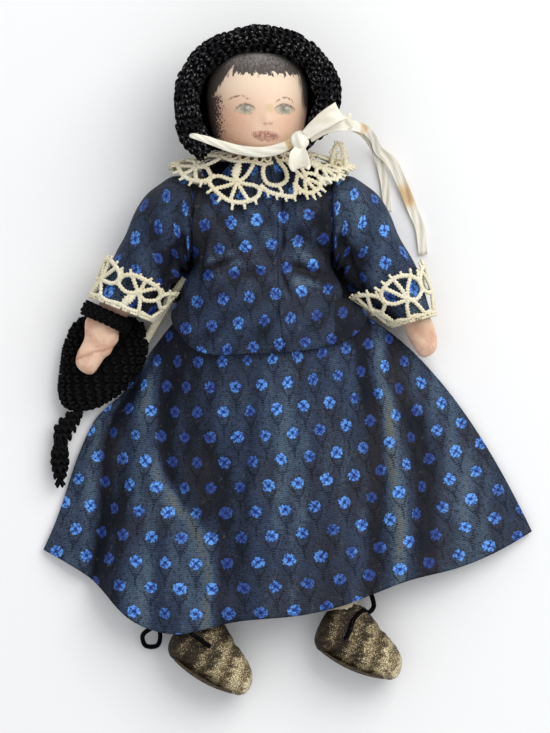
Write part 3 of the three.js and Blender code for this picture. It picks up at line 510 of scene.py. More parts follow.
def from_heel(foot, ahead, up):
    """The place on the table that lies ahead of a heel, along its sole, and up from the sole."""
    turn = foot["toward"]
    x = foot["heel"][0] + ahead * np.cos(turn) - up * np.sin(turn)
    y = foot["heel"][1] + ahead * np.sin(turn) + up * np.cos(turn)
    return x, y


def leg_piece(name, foot):
    ankle_x, ankle_y = from_heel(foot, 0.27 * shoe_length, 0.62 * foot_height)
    arch_x, arch_y = from_heel(foot, 0.3 * shoe_length, 0.3 * foot_height)
    hip = foot["side"] * hip_x
    # The place on the table, the radius and the height of each round.
    table = [[hip, 7.6, 4.5, 9.2], [hip, 5.6, 6, 9.2], [hip, 0, 8, 9.2]]
    for down, radius, z in [(0.5, 7.2, 8.9), (0.85, 5.8, 8.5), (1, 5.2, 8.2)]:
        table.append([hip + (ankle_x - hip) * down, ankle_y * down, radius, z])
    table.append([arch_x, arch_y, 4.6, 8.2])

    def place(turn, share):
        x, y, radius, z = through(table, share)
        reach = radius * rounded(share, 0.08)
        return np.stack([x + reach * np.sin(turn), y, np.maximum(z + reach * np.cos(turn), leg_under)], 1)

    return stuffed(name, 40, 60, place)


for side, foot in feet.items():
    leg = leg_piece(side + "_stuffed_leg", foot)
    dress(leg, muslin, side + "_leg", side + "_leg")

# The shoes are slip-on slippers of thin brown leather, crackled so that pale gold flecks show,
# creased across the vamp and open at the ankle, with a thin dark sole stuck along the edge.
shoe_wall = 1.3
vamp_start, vamp_long = 9, 19
ankle_ahead, ankle_up = 14, 17.4
sole_sag, sole_drop, sole_share = 2.4, 0.75, 0.84
# The place along the foot, and its height and half width there as shares of the foot's.
foot_table = [
    [0.03, 0.7, 0.6], [0.1, 1.12, 0.86], [0.25, 1.3, 0.96], [0.42, 1.1, 0.98],
    [0.58, 0.86, 1], [0.74, 0.68, 0.97], [0.88, 0.48, 0.8], [0.95, 0.3, 0.55],
]


def cut_away(piece, gone):
    """Cuts the faces out of a piece whose middles, in millimetres, lie where gone says."""
    bpy.ops.object.mode_set(mode="EDIT")
    bpy.ops.mesh.select_all(action="DESELECT")
    bpy.ops.object.mode_set(mode="OBJECT")
    for face in piece.data.polygons:
        face.select = bool(gone(np.array(face.center) * 1000))
    bpy.ops.object.mode_set(mode="EDIT")
    bpy.ops.mesh.delete(type="FACE")
    bpy.ops.object.mode_set(mode="OBJECT")


def turned(x, y, angle):
    """A place turned about the origin by an angle."""
    return x * math.cos(angle) - y * math.sin(angle), x * math.sin(angle) + y * math.cos(angle)


def shoe_piece(name, foot):
    def place(turn, share):
        along, tall, wide = through(foot_table, share)
        pull = rounded(share, 0.2)
        half_tall = tall * foot_height / 2
        ahead = along * shoe_length + (along - 0.5) * 2 * shoe_wall + (share - 0.5) * 1.2
        up = half_tall + (half_tall + shoe_wall) * pull * np.sin(turn)
        vamp = np.clip(np.sin(np.pi * np.clip((ahead - vamp_start) / vamp_long, 0, 1)), 0, 1)
        crease = 0.35 * np.sin(ahead * 1.5 + 2.2 * np.sin(turn * 1.3)) * vamp
        crease = crease + 0.22 * np.sin(ahead * 0.9 + 5 * np.cos(turn))
        crease = crease + 0.18 * np.sin(3.1 * ahead + 1.7 * up)
        out = (wide * foot_half + shoe_wall + crease) * pull * np.cos(turn)
        sag = sole_sag * np.sin(np.pi * along)
        up = np.maximum(up + 0.5 * crease, -0.9) - sag * (1 - np.sin(turn)) / 2
        return np.stack([*from_heel(foot, ahead, up), np.maximum(foot_z + out, 1.0)], 1)

    def at_ankle(middle):
        ahead, up = turned(*(middle[:2] - foot["heel"]), -foot["toward"])
        return ahead < ankle_ahead and up > ankle_up

    piece = stuffed(name, 72, 60, place)
    cut_away(piece, at_ankle)
    modify(piece, "SOLIDIFY", thickness=0.0008, offset=-1)
    modify(piece, "SUBSURF", levels=1, render_levels=1)
    bpy.ops.object.shade_smooth()
    return piece


leather = Finish("crackled_leather", 0.25)
round_foot, along_foot = leather.flat.parts()[:2]
crackle = leather.place.noise(3300, 2)
grain = leather.place.noise(2600, 3, (0.7, 1.4, 1))
rubbed = leather.place.noise(210, 3, (0.8, 2.0, 1))
crease_tone = leather.place.noise(420, 3, (0.4, 2.6, 1))
wrinkle = (along_foot * 36.0 + (rubbed - 0.5) * 9.0 + (round_foot * 12.6).sine() * 0.5).sine()
ridge = (round_foot * 6.2832).math("COSINE")
# The gold and the warm mid tone show more where the leather is rubbed and on its wrinkles. As painted light
# they also show more on the top of the foot and towards the toe, and less at the heel.
wear_and_light = (along_foot - 0.6) * 1.3 + (rubbed - 0.5) * 0.7 + wrinkle * 0.28 - ridge * 0.4 - 0.36
gold = ((grain - 0.5) * 1.1 + (crackle - 0.5) * 3.4 + wear_and_light).step(-0.3, 0.62)
hide = crease_tone.step(0.38, 0.66).tint((0.010, 0.006, 0.003), (0.040, 0.026, 0.014))
# The brightest specks of the gold are painted glints.
sparkle = (crackle + wear_and_light * 0.16).step(0.55, 0.70) * gold
hide = layered(hide, [
    (wear_and_light.step(-0.55, 0.35), 0.6, (0.135, 0.088, 0.042)),
    (gold, 0.85, (0.47, 0.35, 0.155)),
    (sparkle, 1, (0.97, 0.90, 0.63)),
])
hide_relief = gold * 0.4 + grain * 0.5 + crease_tone * 1.4 + wrinkle * 0.5
leather.coat(hide, 0.6 - gold * 0.28, hide_relief, 0.6, 0.0006)
sole_leather = Finish("dark_sole", 0.3)
scuff = sole_leather.place.noise(700, 4, (1, 3, 1))
sole_tone = scuff.step(0.35, 0.75).tint((0.026, 0.017, 0.010), (0.10, 0.075, 0.045))
sole_leather.coat(sole_tone, scuff * 0.3 + 0.45, scuff, 0.4, 0.0003)


def sole_piece(name, foot):
    """A flat sole: a disc drawn to the foot's outline, given its thickness and a worn edge."""
    piece = added(name, bpy.ops.mesh.primitive_circle_add, vertices=56, radius=1, fill_type="NGON")
    disc = points_of(piece)
    share = np.arccos(np.clip(-disc[:, 0], -1, 1)) / np.pi
    along, wide = through(foot_table, share)[[0, 2]]
    ahead = (0.5 + (along - 0.5) * sole_share) * shoe_length
    x, y = from_heel(foot, ahead, -sole_drop - sole_sag * np.sin(np.pi * ahead / shoe_length))
    reach = (wide * foot_half + shoe_wall * 0.3) * rounded(share, 0.12) * np.sign(disc[:, 1])
    lay(piece, np.stack([x, y, np.maximum(foot_z + reach, 0.9)], 1))
    modify(piece, "SOLIDIFY", thickness=0.0009, offset=0)
    modify(piece, "BEVEL", width=0.0003, segments=3)
    face_out()
    bpy.ops.object.shade_smooth_by_angle(angle=0.6)
    return piece


for side, foot in feet.items():
    shoe = shoe_piece(side + "_leather_slipper", foot)
    dress(shoe, leather, side + "_shoe_upper", side + "_leg")
    sole = sole_piece(side + "_slipper_sole", foot)
    dress(sole, sole_leather, side + "_shoe_sole", side + "_leg")

# Each slipper is tied with a thin black cord that lies in a loose loop: beside the right heel,
# and above the left vamp. Both end bare.
yarn = Finish("black_yarn", 0.06)
fibre = yarn.place.noise(1500, 3)
yarn_fade = yarn.place.noise(120, 2)
# Painted shade and highlights: the crevices between the stitches are near black, the stitch tops lighter,
# and grey painted glints fall on some stitch tops and a few fibres.
crest = yarn.told("crest")
yarn_tone = (crest.step(0.2, 1.0) * (fibre + 0.3)).tint((0.0009, 0.0009, 0.0014), (0.013, 0.013, 0.015))
glint = crest.step(0.45, 1.0) * fibre.step(0.5, 0.66) * yarn_fade.step(0.3, 0.6)
yarn_tone = (glint + fibre.step(0.66, 0.76) * 0.2).tint(yarn_tone, (0.30, 0.295, 0.30))
yarn.coat(yarn_tone, fibre * 0.3 + 0.6, fibre, 1.0, 0.0005)


def curve_line(route, steps):
    """Points along a smooth curve through given ones, in even steps between each two."""
    nodes = np.asarray(route, float)
    ends = np.vstack([2 * nodes[0] - nodes[1], nodes, 2 * nodes[-1] - nodes[-2]])
    line = []
    for place in np.linspace(0, 1, steps + 1) * (len(nodes) - 1):
        i = min(int(place), len(nodes) - 2)
        t = place - i
        a, b, c, d = ends[i : i + 4]
        ab, bc, cd = [math.sqrt(np.linalg.norm(way)) for way in (b - a, c - b, d - c)]
        leave = ((b - a) / ab - (c - a) / (ab + bc) + (c - b) / bc) * bc
        reach = ((c - b) / bc - (d - b) / (bc + cd) + (d - c) / cd) * bc
        bend = 3 * (c - b) - 2 * leave - reach
        line.append(b + leave * t + bend * t**2 + (2 * (b - c) + leave + reach) * t**3)
    return np.array(line)


def tube(name, line, radius):
    """A round cord along a line: a curve with its thickness."""
    curve = bpy.data.curves.new(name, "CURVE")
    curve.dimensions = "3D"
    spline = curve.splines.new("POLY")
    spline.points.add(len(line) - 1)
    for point, place in zip(spline.points, line):
        point.co = (*(place * 0.001), 1)
    curve.bevel_depth = radius * 0.001
    curve.bevel_resolution = 2
    curve.use_fill_caps = True
    piece = bpy.data.objects.new(name, curve)
    scene.collection.objects.link(piece)
    return piece


over_foot = foot_z + foot_half + shoe_wall + 1.2
on_table = 2.0
tie_radius = 0.8
# Places ahead of the heel, up from the sole and above the table.
right_tie = [
    (12, 8, over_foot), (6, 8.6, over_foot), (0, 9, over_foot - 1.5), (-4.5, 7.5, over_foot - 6),
    (-8, 3.5, on_table + 4), (-9.5, -0.5, on_table + 1.5), (-7, -3, on_table), (-3.6, -1, on_table + 0.4),
    (-4.4, 2.4, on_table + 1.2), (-8.5, 6.4, on_table + 1), (-12, 7.4, on_table),
]
left_tie = [
    (9, 5.2, over_foot - 0.2), (9, 8.6, over_foot), (8.9, 12.3, over_foot - 1.4),
    (10.6, 16.2, over_foot - 4.8), (12.9, 16.4, over_foot - 7.6), (13.6, 18.7, over_foot - 9),
    (12, 21.3, over_foot - 8.8), (9.4, 23.9, over_foot - 8), (7.2, 27.3, over_foot - 7.4),
]
for side, steps, length in [("right", right_tie, 0.053), ("left", left_tie, 0.030)]:
    route = [(*from_heel(feet[side], ahead, up), z) for ahead, up, z in steps]
    line = curve_line(route, 60)
    cord = tube(side + "_shoe_tie", line, tie_radius)
    dress(cord, yarn, side + "_shoe_lace", side + "_leg")

# The skirt is cut from dark navy brocade woven with small blue florets, gathered into a band at
# the waist and spread out flat like a fan. Front and back panels are sewn at the sides.
waist_y, waist_half, waist_deep = 29, 22, 11.6
fan_x, fan_y, fan_reach = 3.3, 92.6, 165
right_spread, left_spread = 0.483, 0.557
dome_height = 17
# Depth, middle and width of the waves in the hem, by the angle round the fan.
hem_waves = [(12, -0.21, 0.122), (-2.4, 0.28, 0.1), (3, 0.02, 0.14), (1.6, -0.29, 0.05)]
cloth_thick = 0.0006
cloth_under = 0.4


def smooth(value, low, high):
    t = np.clip((value - low) / (high - low), 0, 1)
    return t * t * (3 - 2 * t)


def bell(value, at, wide):
    """1 at a place, fading away to both sides of it."""
    return np.exp(-(((value - at) / wide) ** 2))


def hem_point(side):
    """The hem, from -1 at the right seam to 1 at the left one: an arc that dips and rises."""
    angle = side * np.where(side < 0, right_spread, left_spread)
    reach = fan_reach + sum(deep * bell(angle, at, wide) for deep, at, wide in hem_waves)
    return fan_x + reach * np.sin(angle), fan_y - reach * np.cos(angle)


def skirt_plan(side, down):
    """A place of the skirt seen from above, by its shares round the skirt and down it."""
    hem_x, hem_y = hem_point(side)
    power = 1 + (np.where(side < 0, 0.7, 0.45) - 1) * np.abs(side)
    start = 0.02
    swell = ((down + start) ** power - start**power) / ((1 + start) ** power - start**power)
    bulge = np.where(side < 0, 4.6 * side**4, 0) * smooth(down, 0.34, 0.48) * (1 - smooth(down, 0.48, 0.95))
    top_x = waist_half * np.sin(side * np.pi / 2)
    return top_x + (hem_x - top_x) * swell - bulge, waist_y + (hem_y - waist_y) * down


# Lines of the folds, each from the waist down to the hem.
deep_fold = [(-27.5, 18), (-32, -4), (-33.3, -15), (-32, -26), (-27, -38), (-22, -50), (-20, -80)]
olive_fold = [(-38, -4), (-35.7, -17.7), (-34.5, -28), (-29.3, -37.5), (-23, -44.5), (-19.8, -50.3),
              (-18, -63), (-18.7, -74)]
blue_fold = [(-36, 16), (-40, -2), (-43.4, -19), (-38.3, -47), (-40.3, -68)]
side_crease = [(-37, 12), (-44, 0), (-49.8, -8), (-53, -18), (-54.3, -44), (-58, -70)]
left_step = [(33, 10), (37, -8), (38.6, -30), (38, -55), (35, -80)]
left_olive = [(40, 4), (42, -11), (45.5, -50), (46, -70)]
left_hollow = [(44, 5), (50, -10), (54, -28), (55, -60), (56, -80)]
# Per fold its line, shift to the left, width, and what it adds at the hem and at the waist.
fold_heights = [
    (deep_fold, 0, 4.2, -1.035, -2.3), (deep_fold, -8.5, 4.6, 1.19, 1.7), (side_crease, 0, 3.4, -1.7, -1.7),
    (left_step, 0, 3.8, -1.8, -1.8), (left_step, 8, 4.4, 1.6, 1.6), (left_hollow, 0, 4, -1.3, -1.3),
]
crease_heights = [
    (side_crease, 0, 1.0, -0.7, -0.7), (deep_fold, 0, 1.4, 0, -0.6), (olive_fold, 0, 2.4, 0.45, 0.45),
    (left_hollow, 0, 1.3, -0.4, -0.4), (left_olive, 0, 2, 0.3, 0.3),
]
# Painted sheen and shade along the folds, by line, shift to the left, width, and what each adds at the hem
# and at the waist.
fold_shines = [
    (olive_fold, 0, 3.0, 1.0, 0.4), (blue_fold, 0, 4.2, 0.6, 0.6), (deep_fold, 0, 3.6, 0, -1.3),
    (deep_fold, 0, 1.3, 0, -1.1), (deep_fold, 11, 9, -0.5, -0.5), (side_crease, 1.5, 2.2, -1.1, -1.1),
    (side_crease, 6, 5, -0.6, -0.6), (side_crease, -6, 4, 0.3, 0.3), (left_step, 0, 2.8, -0.9, -0.9),
    (left_olive, 0, 3.2, 0.95, 0.95), (left_hollow, 0, 3.6, -1.2, -1.2), (left_hollow, 12, 6, 0.35, 0.35),
]
# Brightness, middle, width and length of the patches of painted light and shade between the folds.
shine_patches = [(0.45, (12, -18), 13, 24), (-0.4, (-12, -34), 10, 18), (-0.3, (26, -40), 7, 30)]


def along_folds(x, y, folds, upper):
    """What folds add at a place, upper being 0 at the hem and 1 at the waist."""
    total = 0 * x
    for line, shift, wide, at_hem, at_waist in folds:
        line_x, line_y = np.array(line[::-1]).T
        middle = np.interp(y, line_y, line_x) + shift
        total = total + bell(x, middle, wide) * (at_hem + (at_waist - at_hem) * upper)
    return total


def skirt_front(side, down):
    x, y = skirt_plan(side, down)
    far = np.abs(side)
    top = spine_z + 0.6 + waist_deep * np.cos(side * np.pi / 2)
    dome = dome_height * np.clip(1 - far**2.2, 0, 1) ** 1.1
    waves = 0.9 * down * (1 - far**4) * np.cos(6.5 * np.pi * side + 0.6)
    hem = 1.2 + cloth_under + dome + waves - 2.2 * down * bell(side, -0.78, 0.06)
    fallen = top + (hem - top) * smooth(down, 0, 0.9 - 0.55 * far)
    fade = smooth(down, 0.1, 0.3) * np.clip((1 - far) / 0.1, 0, 1)
    return np.stack([x, y, fallen + along_folds(x, y, fold_heights, smooth(y, -55, -10)) * fade], 1)


def creased_front(side, down):
    """The front with the small creases between its main folds."""
    x, y, z = skirt_front(side, down).T
    fade = smooth(down, 0.06, 0.25) * np.clip((1 - np.abs(side)) / 0.08, 0, 1)
    small = along_folds(x, y, crease_heights, smooth(y, -40, 0)) + 0.14 * np.sin(0.8 * x - 0.11 * y + 1)
    small = small + 0.22 * np.sin(0.45 * x + 0.06 * y) * smooth(down, 0.2, 0.7)
    return np.stack([x, y, np.maximum(z + small * fade, 0.5)], 1)


def skirt_back(side, down):
    x, y = skirt_plan(side, down * 0.985)
    far = np.abs(side)
    top = np.maximum(spine_z - 0.6 - waist_deep * np.cos(side * np.pi / 2), 1.6)
    fall = smooth(down, 0.16 - 0.16 * far, 0.22 + 0.13 * far**2)
    return np.stack([x, y, top + (cloth_under - top) * fall], 1)


def skirt_shine(x, y):
    """How light or dark the silk is painted on the folds: above 0 a painted sheen, below 0 painted shade."""
    light = along_folds(x, y, fold_shines, smooth(y, -45, -8)) - 0.5 * smooth(y, 8, 22)
    light = light + sum(bright * hump(x, y, *patch) for bright, *patch in shine_patches)
    return light + 0.13 * np.sin(0.31 * x + 0.04 * y) + 0.1 * np.sin(0.9 * x - 0.07 * y)


def shares(columns, rows):
    """How far each point of a panel's grid lies across the panel and along it."""
    row, column = np.mgrid[0 : rows + 1, 0 : columns + 1]
    return column.ravel() / columns, 1 - row.ravel() / rows


def cut_out(piece, flat):
    """Writes where each point lay on the flat cloth, in millimetres, as the piece's UV map."""
    corner = np.empty(len(piece.data.loops), np.int32)
    piece.data.loops.foreach_get("vertex_index", corner)
    piece.data.uv_layers[0].data.foreach_set("uv", flat[corner].astype(np.float32).ravel())


def panel(name, columns, rows, points, flat):
    """A cloth panel: a grid laid at its points, cut from the flat cloth."""
    piece = added(name, bpy.ops.mesh.primitive_grid_add, x_subdivisions=columns, y_subdivisions=rows, size=1)
    lay(piece, points)
    cut_out(piece, flat)
    bpy.ops.object.shade_smooth()
    return piece


def note(piece, name, values):
    """Keeps a value at each point of a piece for its material to read."""
    layer = piece.data.attributes.new(name, "FLOAT", "POINT")
    layer.data.foreach_set("value", values.astype(np.float32))


brocade = Finish("floret_brocade", 0.14)
cloth_u, cloth_v = brocade.flat.parts()[:2]
floret_u, floret_v = 9.4, 8.4
threads = brocade.place.noise(2600, 2)
flecks = brocade.place.noise(1150, 2)
row_at = cloth_v / floret_v
row_number = row_at.math("FLOOR")
column_at = cloth_u / floret_u + (row_number * 0.5).math("FRACT")
own = ((column_at.math("FLOOR") * 12.99 + row_number * 78.23).sine() * 437.6).math("FRACT")
cell_x = (column_at.math("FRACT") - 0.5) * floret_u + (flecks - 0.5) * 0.6
cell_y = (row_at - row_number - 0.5) * floret_v + 2.0 + (threads - 0.5) * 0.8
beside = abs(cell_x)
reach = (cell_x * cell_x + cell_y * cell_y).math("SQRT") * 0.55 + beside.most(abs(cell_y)) * 0.55
lobes = abs((cell_y.math("ARCTAN2", cell_x) * 2.0).math("COSINE"))
petal = (lobes * 0.3 + own * 0.3 + (flecks - 0.5) * 1.7 + 1.62 - reach).step(-0.16, 0.16)
vein = (lobes + (flecks - 0.5) * 1.4).step(0.6, 0.15) * reach.step(0.3, 0.6)
heart = reach.step(0.85, 0.4)
petal_tip = reach.step(0.3, 0.9) * (flecks + threads * 0.6).step(0.6, 0.9)
fallen = (cell_y - 0.4) / 4.9
drop_half = (1 - fallen).most(0.0) ** 0.75 * 2.55 + 0.1
drop_line = abs(beside - drop_half).step(0.44, 0.2) * fallen.step(0.1, 0.25)
stem = beside.step(0.5, 0.24) * fallen.step(0.6, 0.8)
upper_stem = abs(beside - floret_u / 2).step(0.5, 0.24) * cell_y.step(0.6, -0.2)
dots = ((cell_y * 7.6).sine() * 0.3 + flecks * 1.6 - 0.8).step(-0.22, 0.12)
figure = drop_line.most(stem, upper_stem) * dots
ogee = (beside / (floret_u / 2) + (cell_y - 2.0) * 0.06).step(0.15, 0.95)
ribs = (cloth_v * 10.2 + (flecks - 0.5) * 1.2).sine() * 0.5 + 0.5
# The brocade's light and shade are painted into its colour. The shine noted on each piece, with soft noise,
# gives the ground near-black painted shade, blue-grey painted sheen and olive painted highlights, and dims
# or brightens the florets.
soft_light = brocade.place.noise(70, 3, (1, 0.5, 1))
# The broad greyish-brown patches are painted shade, where the satin turns from the light.
satin_shade_patch = brocade.place.noise(38, 3)
dust = brocade.place.noise(520, 4)
shine = brocade.told("shine") * 0.75 + (soft_light - 0.5) * 1.1 + (threads - 0.5) * 0.75
shine = shine + (flecks - 0.5) * 0.5 + (ogee - 0.5) * 0.1 + 0.42
ground = shine.step(-0.15, 0.45).tint((0.005, 0.007, 0.013), (0.034, 0.055, 0.106))
ground = layered(ground, [
    (satin_shade_patch.step(0.46, 0.66), 0.6, (0.034, 0.032, 0.036)),
    (shine.step(0.4, 0.95), 1, (0.088, 0.140, 0.208)),
    (shine.step(0.8, 1.3), 0.8, (0.185, 0.190, 0.150)),
    (ribs, 0.55, (0.008, 0.011, 0.020)),
    ((flecks * 0.5 + threads * 0.5).step(0.47, 0.38), 0.7, (0.005, 0.006, 0.010)),
    (dust.step(0.6, 0.78), 0.22, (0.22, 0.18, 0.15)),
    (figure, 0.85, (0.003, 0.0035, 0.006)),
])
# The florets are dimmed in painted shade and brightened in painted light.
lit = (shine + (own - 0.5) * 0.3).step(-0.05, 0.85) * 0.85
silk = (lit + 0.15).tint((0.016, 0.016, 0.11), (0.030, 0.125, 0.60))
silk = (petal_tip * (lit + 0.1)).tint(silk, (0.17, 0.45, 0.98))
silk = (vein * 0.7).most(heart * 0.75).tint(silk, (0.004, 0.016, 0.115))
brocade_tone = (petal * (threads * 0.5 + 0.66)).tint(ground, silk)
brocade_roughness = 0.62 - petal * 0.14 - shine.step(0.5, 1.1) * 0.12
brocade_relief = petal * 0.8 + ribs * 0.25 + threads * 0.6 - figure * 0.4
brocade.coat(brocade_tone, brocade_roughness, brocade_relief, 0.45, 0.00025)
grain_x, grain_y, grain_reach = -20, 270, 290
floret_shift_u, floret_shift_v = 1.9, 2.0


def fan_flat(points, columns, rows):
    """The cloth's own grain: rows bow round a far centre, and folds take up more of the cloth."""
    far_x, far_y = points[:, 0] - grain_x, grain_y - points[:, 1]
    run = np.diff(points.reshape(rows + 1, columns + 1, 3), axis=1)
    extra = np.linalg.norm(run, axis=2) - np.linalg.norm(run[:, :, :2], axis=2)
    taken = np.insert(np.cumsum(extra, axis=1), 0, 0, axis=1)
    taken = taken - taken[:, [int(columns * 0.38)]]
    across = grain_reach * np.arctan2(far_x, far_y) + floret_shift_u + taken.ravel()
    return np.stack([across, np.hypot(far_x, far_y) + floret_shift_v], 1)


skirt_rows = [
    ("skirt_front", creased_front, 220, 120, "skirt_front_panel", -1.0, -0.015),
    ("skirt_back", skirt_back, 90, 60, "skirt_back_panel", 0.0, -0.003),
]
for name, surface, columns, rows, node, offset, low in skirt_rows:
    across, along = shares(columns, rows)
    points = surface(across * 2 - 1, along**1.25)
    piece = panel(name, columns, rows, points, fan_flat(points, columns, rows))
    note(piece, "shine", skirt_shine(points[:, 0], points[:, 1]))
    modify(piece, "SOLIDIFY", thickness=cloth_thick, offset=offset)
    dress(piece, brocade, node)
    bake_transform(piece)

band_low, band_high = 29.8, 34.8
band_half, band_deep, band_long = 21, 10.6, 104
band_under = 2.6


def band_place(across, along):
    turn = across * 2 * np.pi
    lift = np.cos(turn)
    z = spine_z + np.where(lift > 0, band_deep, waist_deep) * lift
    y = band_low + (band_high - band_low) * along
    return np.stack([band_half * np.sin(turn), y, np.maximum(z, band_under)], 1)


def closed_panel(name, columns, rows, place, flat, light=None):
    """A cloth tube: a panel whose two long edges are sewn together, with any painted light noted on it."""
    across, along = shares(columns, rows)
    piece = panel(name, columns, rows, place(across, along), np.stack([across, along], 1) * flat)
    if light:
        note(piece, "shine", light(across, along))
    face_out(weld=0.00001)
    return piece


waistband = closed_panel("waistband", 72, 6, band_place, (band_long, band_high - band_low))
modify(waistband, "SOLIDIFY", thickness=0.0005, offset=-1)
dress(waistband, brocade, "skirt_waistband", "torso")

# The jacket is three panels of the same brocade, closed by a seam left of the middle of the
# front, creased where it is drawn in at the waist, and flared below into a short peplum.
shoulder_x, shoulder_y, shoulder_round = 23.6, 57.5, 12.2
body_share = 0.66
neck_rise = 2.9
peplum_y, peplum_long, peplum_flare, peplum_off = 29.4, 15, 3.4, 1.75
jacket_rows = 100
# Half the width, the depth and the place up the body, from the neck to the waist.
jacket_table = [
    [9.2, 8.4, 73.5], [14.3, 9, 69.5], [20.8, 10.4, 65.5], [22.8, 11.4, 57.5],
    [22.8, 11.4, 46], [22.8, 11.4, 40], [23.2, 12.8, 32],
]
# Height, middle, slope, length and width of the slanting creases at the waist.
waist_creases = [
    (-1.3, (-15, 41.5), 0.42, 6, 1.2), (1.0, (-14, 44), 0.3, 6.5, 1.7), (-1.9, (17.5, 38.6), -0.3, 7.5, 1.6),
    (1.1, (17, 43.5), -0.2, 8, 2.4), (0.9, (17, 34.6), -0.25, 8, 2.2), (-0.7, (-4, 38.5), 0.1, 7, 1.3),
    (0.6, (-3, 42), 0.05, 7, 2), (0.6, (-4, 52), 0, 8, 5),
]
seam_y = [29, 34, 39.7, 44.7, 47, 51.7, 58]
seam_x = [11.3, 8.3, 6.7, 5.7, 7, 7.3, 6.7]


def unit(ways):
    return ways / np.linalg.norm(ways, axis=-1, keepdims=True)


def peplum_front(side, share):
    """The front below the waist lies just off the skirt, and is longest in the middle."""
    down = (0.155 * (1 - side**4) + 0.004) * share
    step = 0.004
    here = skirt_front(side, down)
    along = skirt_front(side, down + step) - here
    across = skirt_front(side + step, down) - skirt_front(side - step, down)
    out = unit(np.cross(across, along))
    return here + peplum_off * np.where(out[:, 2:] < 0, -out, out)


def peplum_back(side, share, waist):
    x, y, z = waist.T
    length = peplum_long * np.clip(1 - (side / 0.72) ** 2, 0, None)
    lying = smooth(length * share, 0, 7)
    return np.stack([x, y + (peplum_y - length - y) * share, z + (cloth_under - z) * lying], 1)


def drawn_in(x, y):
    """The drawn-in waist: slanting creases with soft puffs above them, a dart and the front seam."""
    lift = 0.22 * np.sin(0.8 * x + 0.5 * y) * smooth(y, 30, 36) + 0.2 * np.sin(0.55 * y - 0.4 * x)
    for height, at, slope, long, wide in waist_creases:
        lift = lift + height * hump(x, y - slope * (x - at[0]), at, long, wide)
    dart = bell(x + 19.6 - 0.1 * (y - 43), 0, 0.8) * smooth(y, 30, 36) * smooth(y, 62, 50)
    beside = x - np.interp(y, seam_y, seam_x)
    seam = -0.75 * bell(beside, 0, 0.7) + 0.3 * bell(beside, -2, 1.4)
    return lift - 0.8 * dart + seam * smooth(y, 26, 32)


def jacket_panel(name, low_side, high_side, columns, back, sunk):
    """A panel between two places round the body; sunk tucks its seam under the next panel."""
    across, along = shares(columns, jacket_rows)
    side = low_side + (high_side - low_side) * across
    far, way = np.abs(side), np.sign(side)
    half, deep, up = through(jacket_table, along / body_share)
    lift = np.cos(side * np.pi / 2)
    over_arm = np.sqrt(np.clip(shoulder_round**2 - (up - shoulder_y) ** 2, 0, None))
    sag = 6 * smooth(deep, 8.4, 11.4) if back else 0
    out = np.maximum((deep + sag) * lift + 0.6, over_arm)
    z = np.maximum(spine_z + (-out if back else out), cloth_under)
    body = np.stack([half * np.sin(side * np.pi / 2), up, z], 1)
    share = 0.06 + 0.94 * np.clip((along - body_share) / (1 - body_share), 0, 1)
    skirted = peplum_back(side, share, body) if back else peplum_front(side, share)
    x, y, z = np.where((along > body_share)[:, None], skirted, body).T
    # The noted shine is painted shade. It is darker at the back of the neck, in the waist creases, at the
    # sides, over the whole jacket and low under the arms, and lighter on the puffs above the creases. Under
    # each arm the back panel spreads out low and dark, as a flap that stands for the shade between sleeve
    # and body.
    neck = smooth(up, 67, 73.4)
    raised = y + neck_rise * neck
    flare = peplum_flare * smooth(far, 0.7, 0.985) * smooth(y, 42, 33) * way
    if back:
        shade_flap = smooth(far, 0.8, 0.98) * smooth(up, 47, 41) * smooth(raised, 25, 31)
        x = (x + flare) * (1 + 0.9 * neck) + 4.2 * shade_flap * way
        z = z - 5 * shade_flap
        shade = -0.8 * neck - 1.2 * shade_flap
    else:
        crease = drawn_in(x, y) * np.clip(1.6 * lift, 0, 1)
        z = z + np.maximum(crease, -1.5) - sunk * smooth(side, high_side - 0.06, high_side)
        shade = np.clip(crease, -1.4, 0.9) * 0.8
        x = x + flare
    rim = smooth(np.abs(x), 17, 22.5) * smooth(up, 38, 44)
    shade = shade - 0.9 * rim - 0.25 - 0.5 * smooth(raised, 34, 28) * (np.abs(x) > 24)
    flat = np.stack([x * 1.08 + 2.0 + 0.08 * raised, 75.6 - raised + 0.1 * x], 1)
    piece = panel(name, columns, jacket_rows, np.stack([x, raised, z], 1), flat)
    note(piece, "shine", shade)
    modify(piece, "SOLIDIFY", thickness=cloth_thick, offset=0)
    return piece


jacket_panels = [
    ("jacket_right_front", -0.985, 0.165, 84, False, 0.5, "jacket_front_right", (0.042, 0.062), 0.0021),
    ("jacket_left_front", 0.15, 0.985, 66, False, 0, "jacket_front_left", (0.034, 0.062), 0.0016),
    ("jacket_back_panel", -0.985, 0.985, 110, True, 0, "jacket_back", (0.056, 0.060), 0.0030),
]
for name, low_side, high_side, columns, back, sunk, node, flat, area in jacket_panels:
    piece = jacket_panel(name, low_side, high_side, columns, back, sunk)
    dress(piece, brocade, node, "torso")

# The sleeves are wide at the shoulder and taper to the wrist. Each is a tube of brocade set
# into its armhole, with slanting creases where the arm bends forward.
last_row = 8
sleeve_under = 1.5
# Outer and inner edge from the shoulder, and half the depth, in rows down to the bend.
sleeve_table = [
    [-7, 10.9, -7, -10.9, 10.9], [-1.0, 11.2, -1.0, -11.2, 11.2], [0.5, 13.1, 0.3, -13.3, 12.2],
    [6.8, 13.4, 0.8, -15.2, 12], [13.5, 9, 1.6, -16.4, 11], [19.2, 0.6, 3, -18.2, 10],
    [23.6, -8.8, 5.2, -21.3, 9.2],
]
wrist_rows = {
    -1: [[27.2, -17, 8.4, -26, 8.8], [33, -26.6, 13.6, -34.2, 8.4]],
    1: [[29.2, -20, 10.2, -28, 8.8], [33.4, -32.6, 20.8, -36, 8]],
}


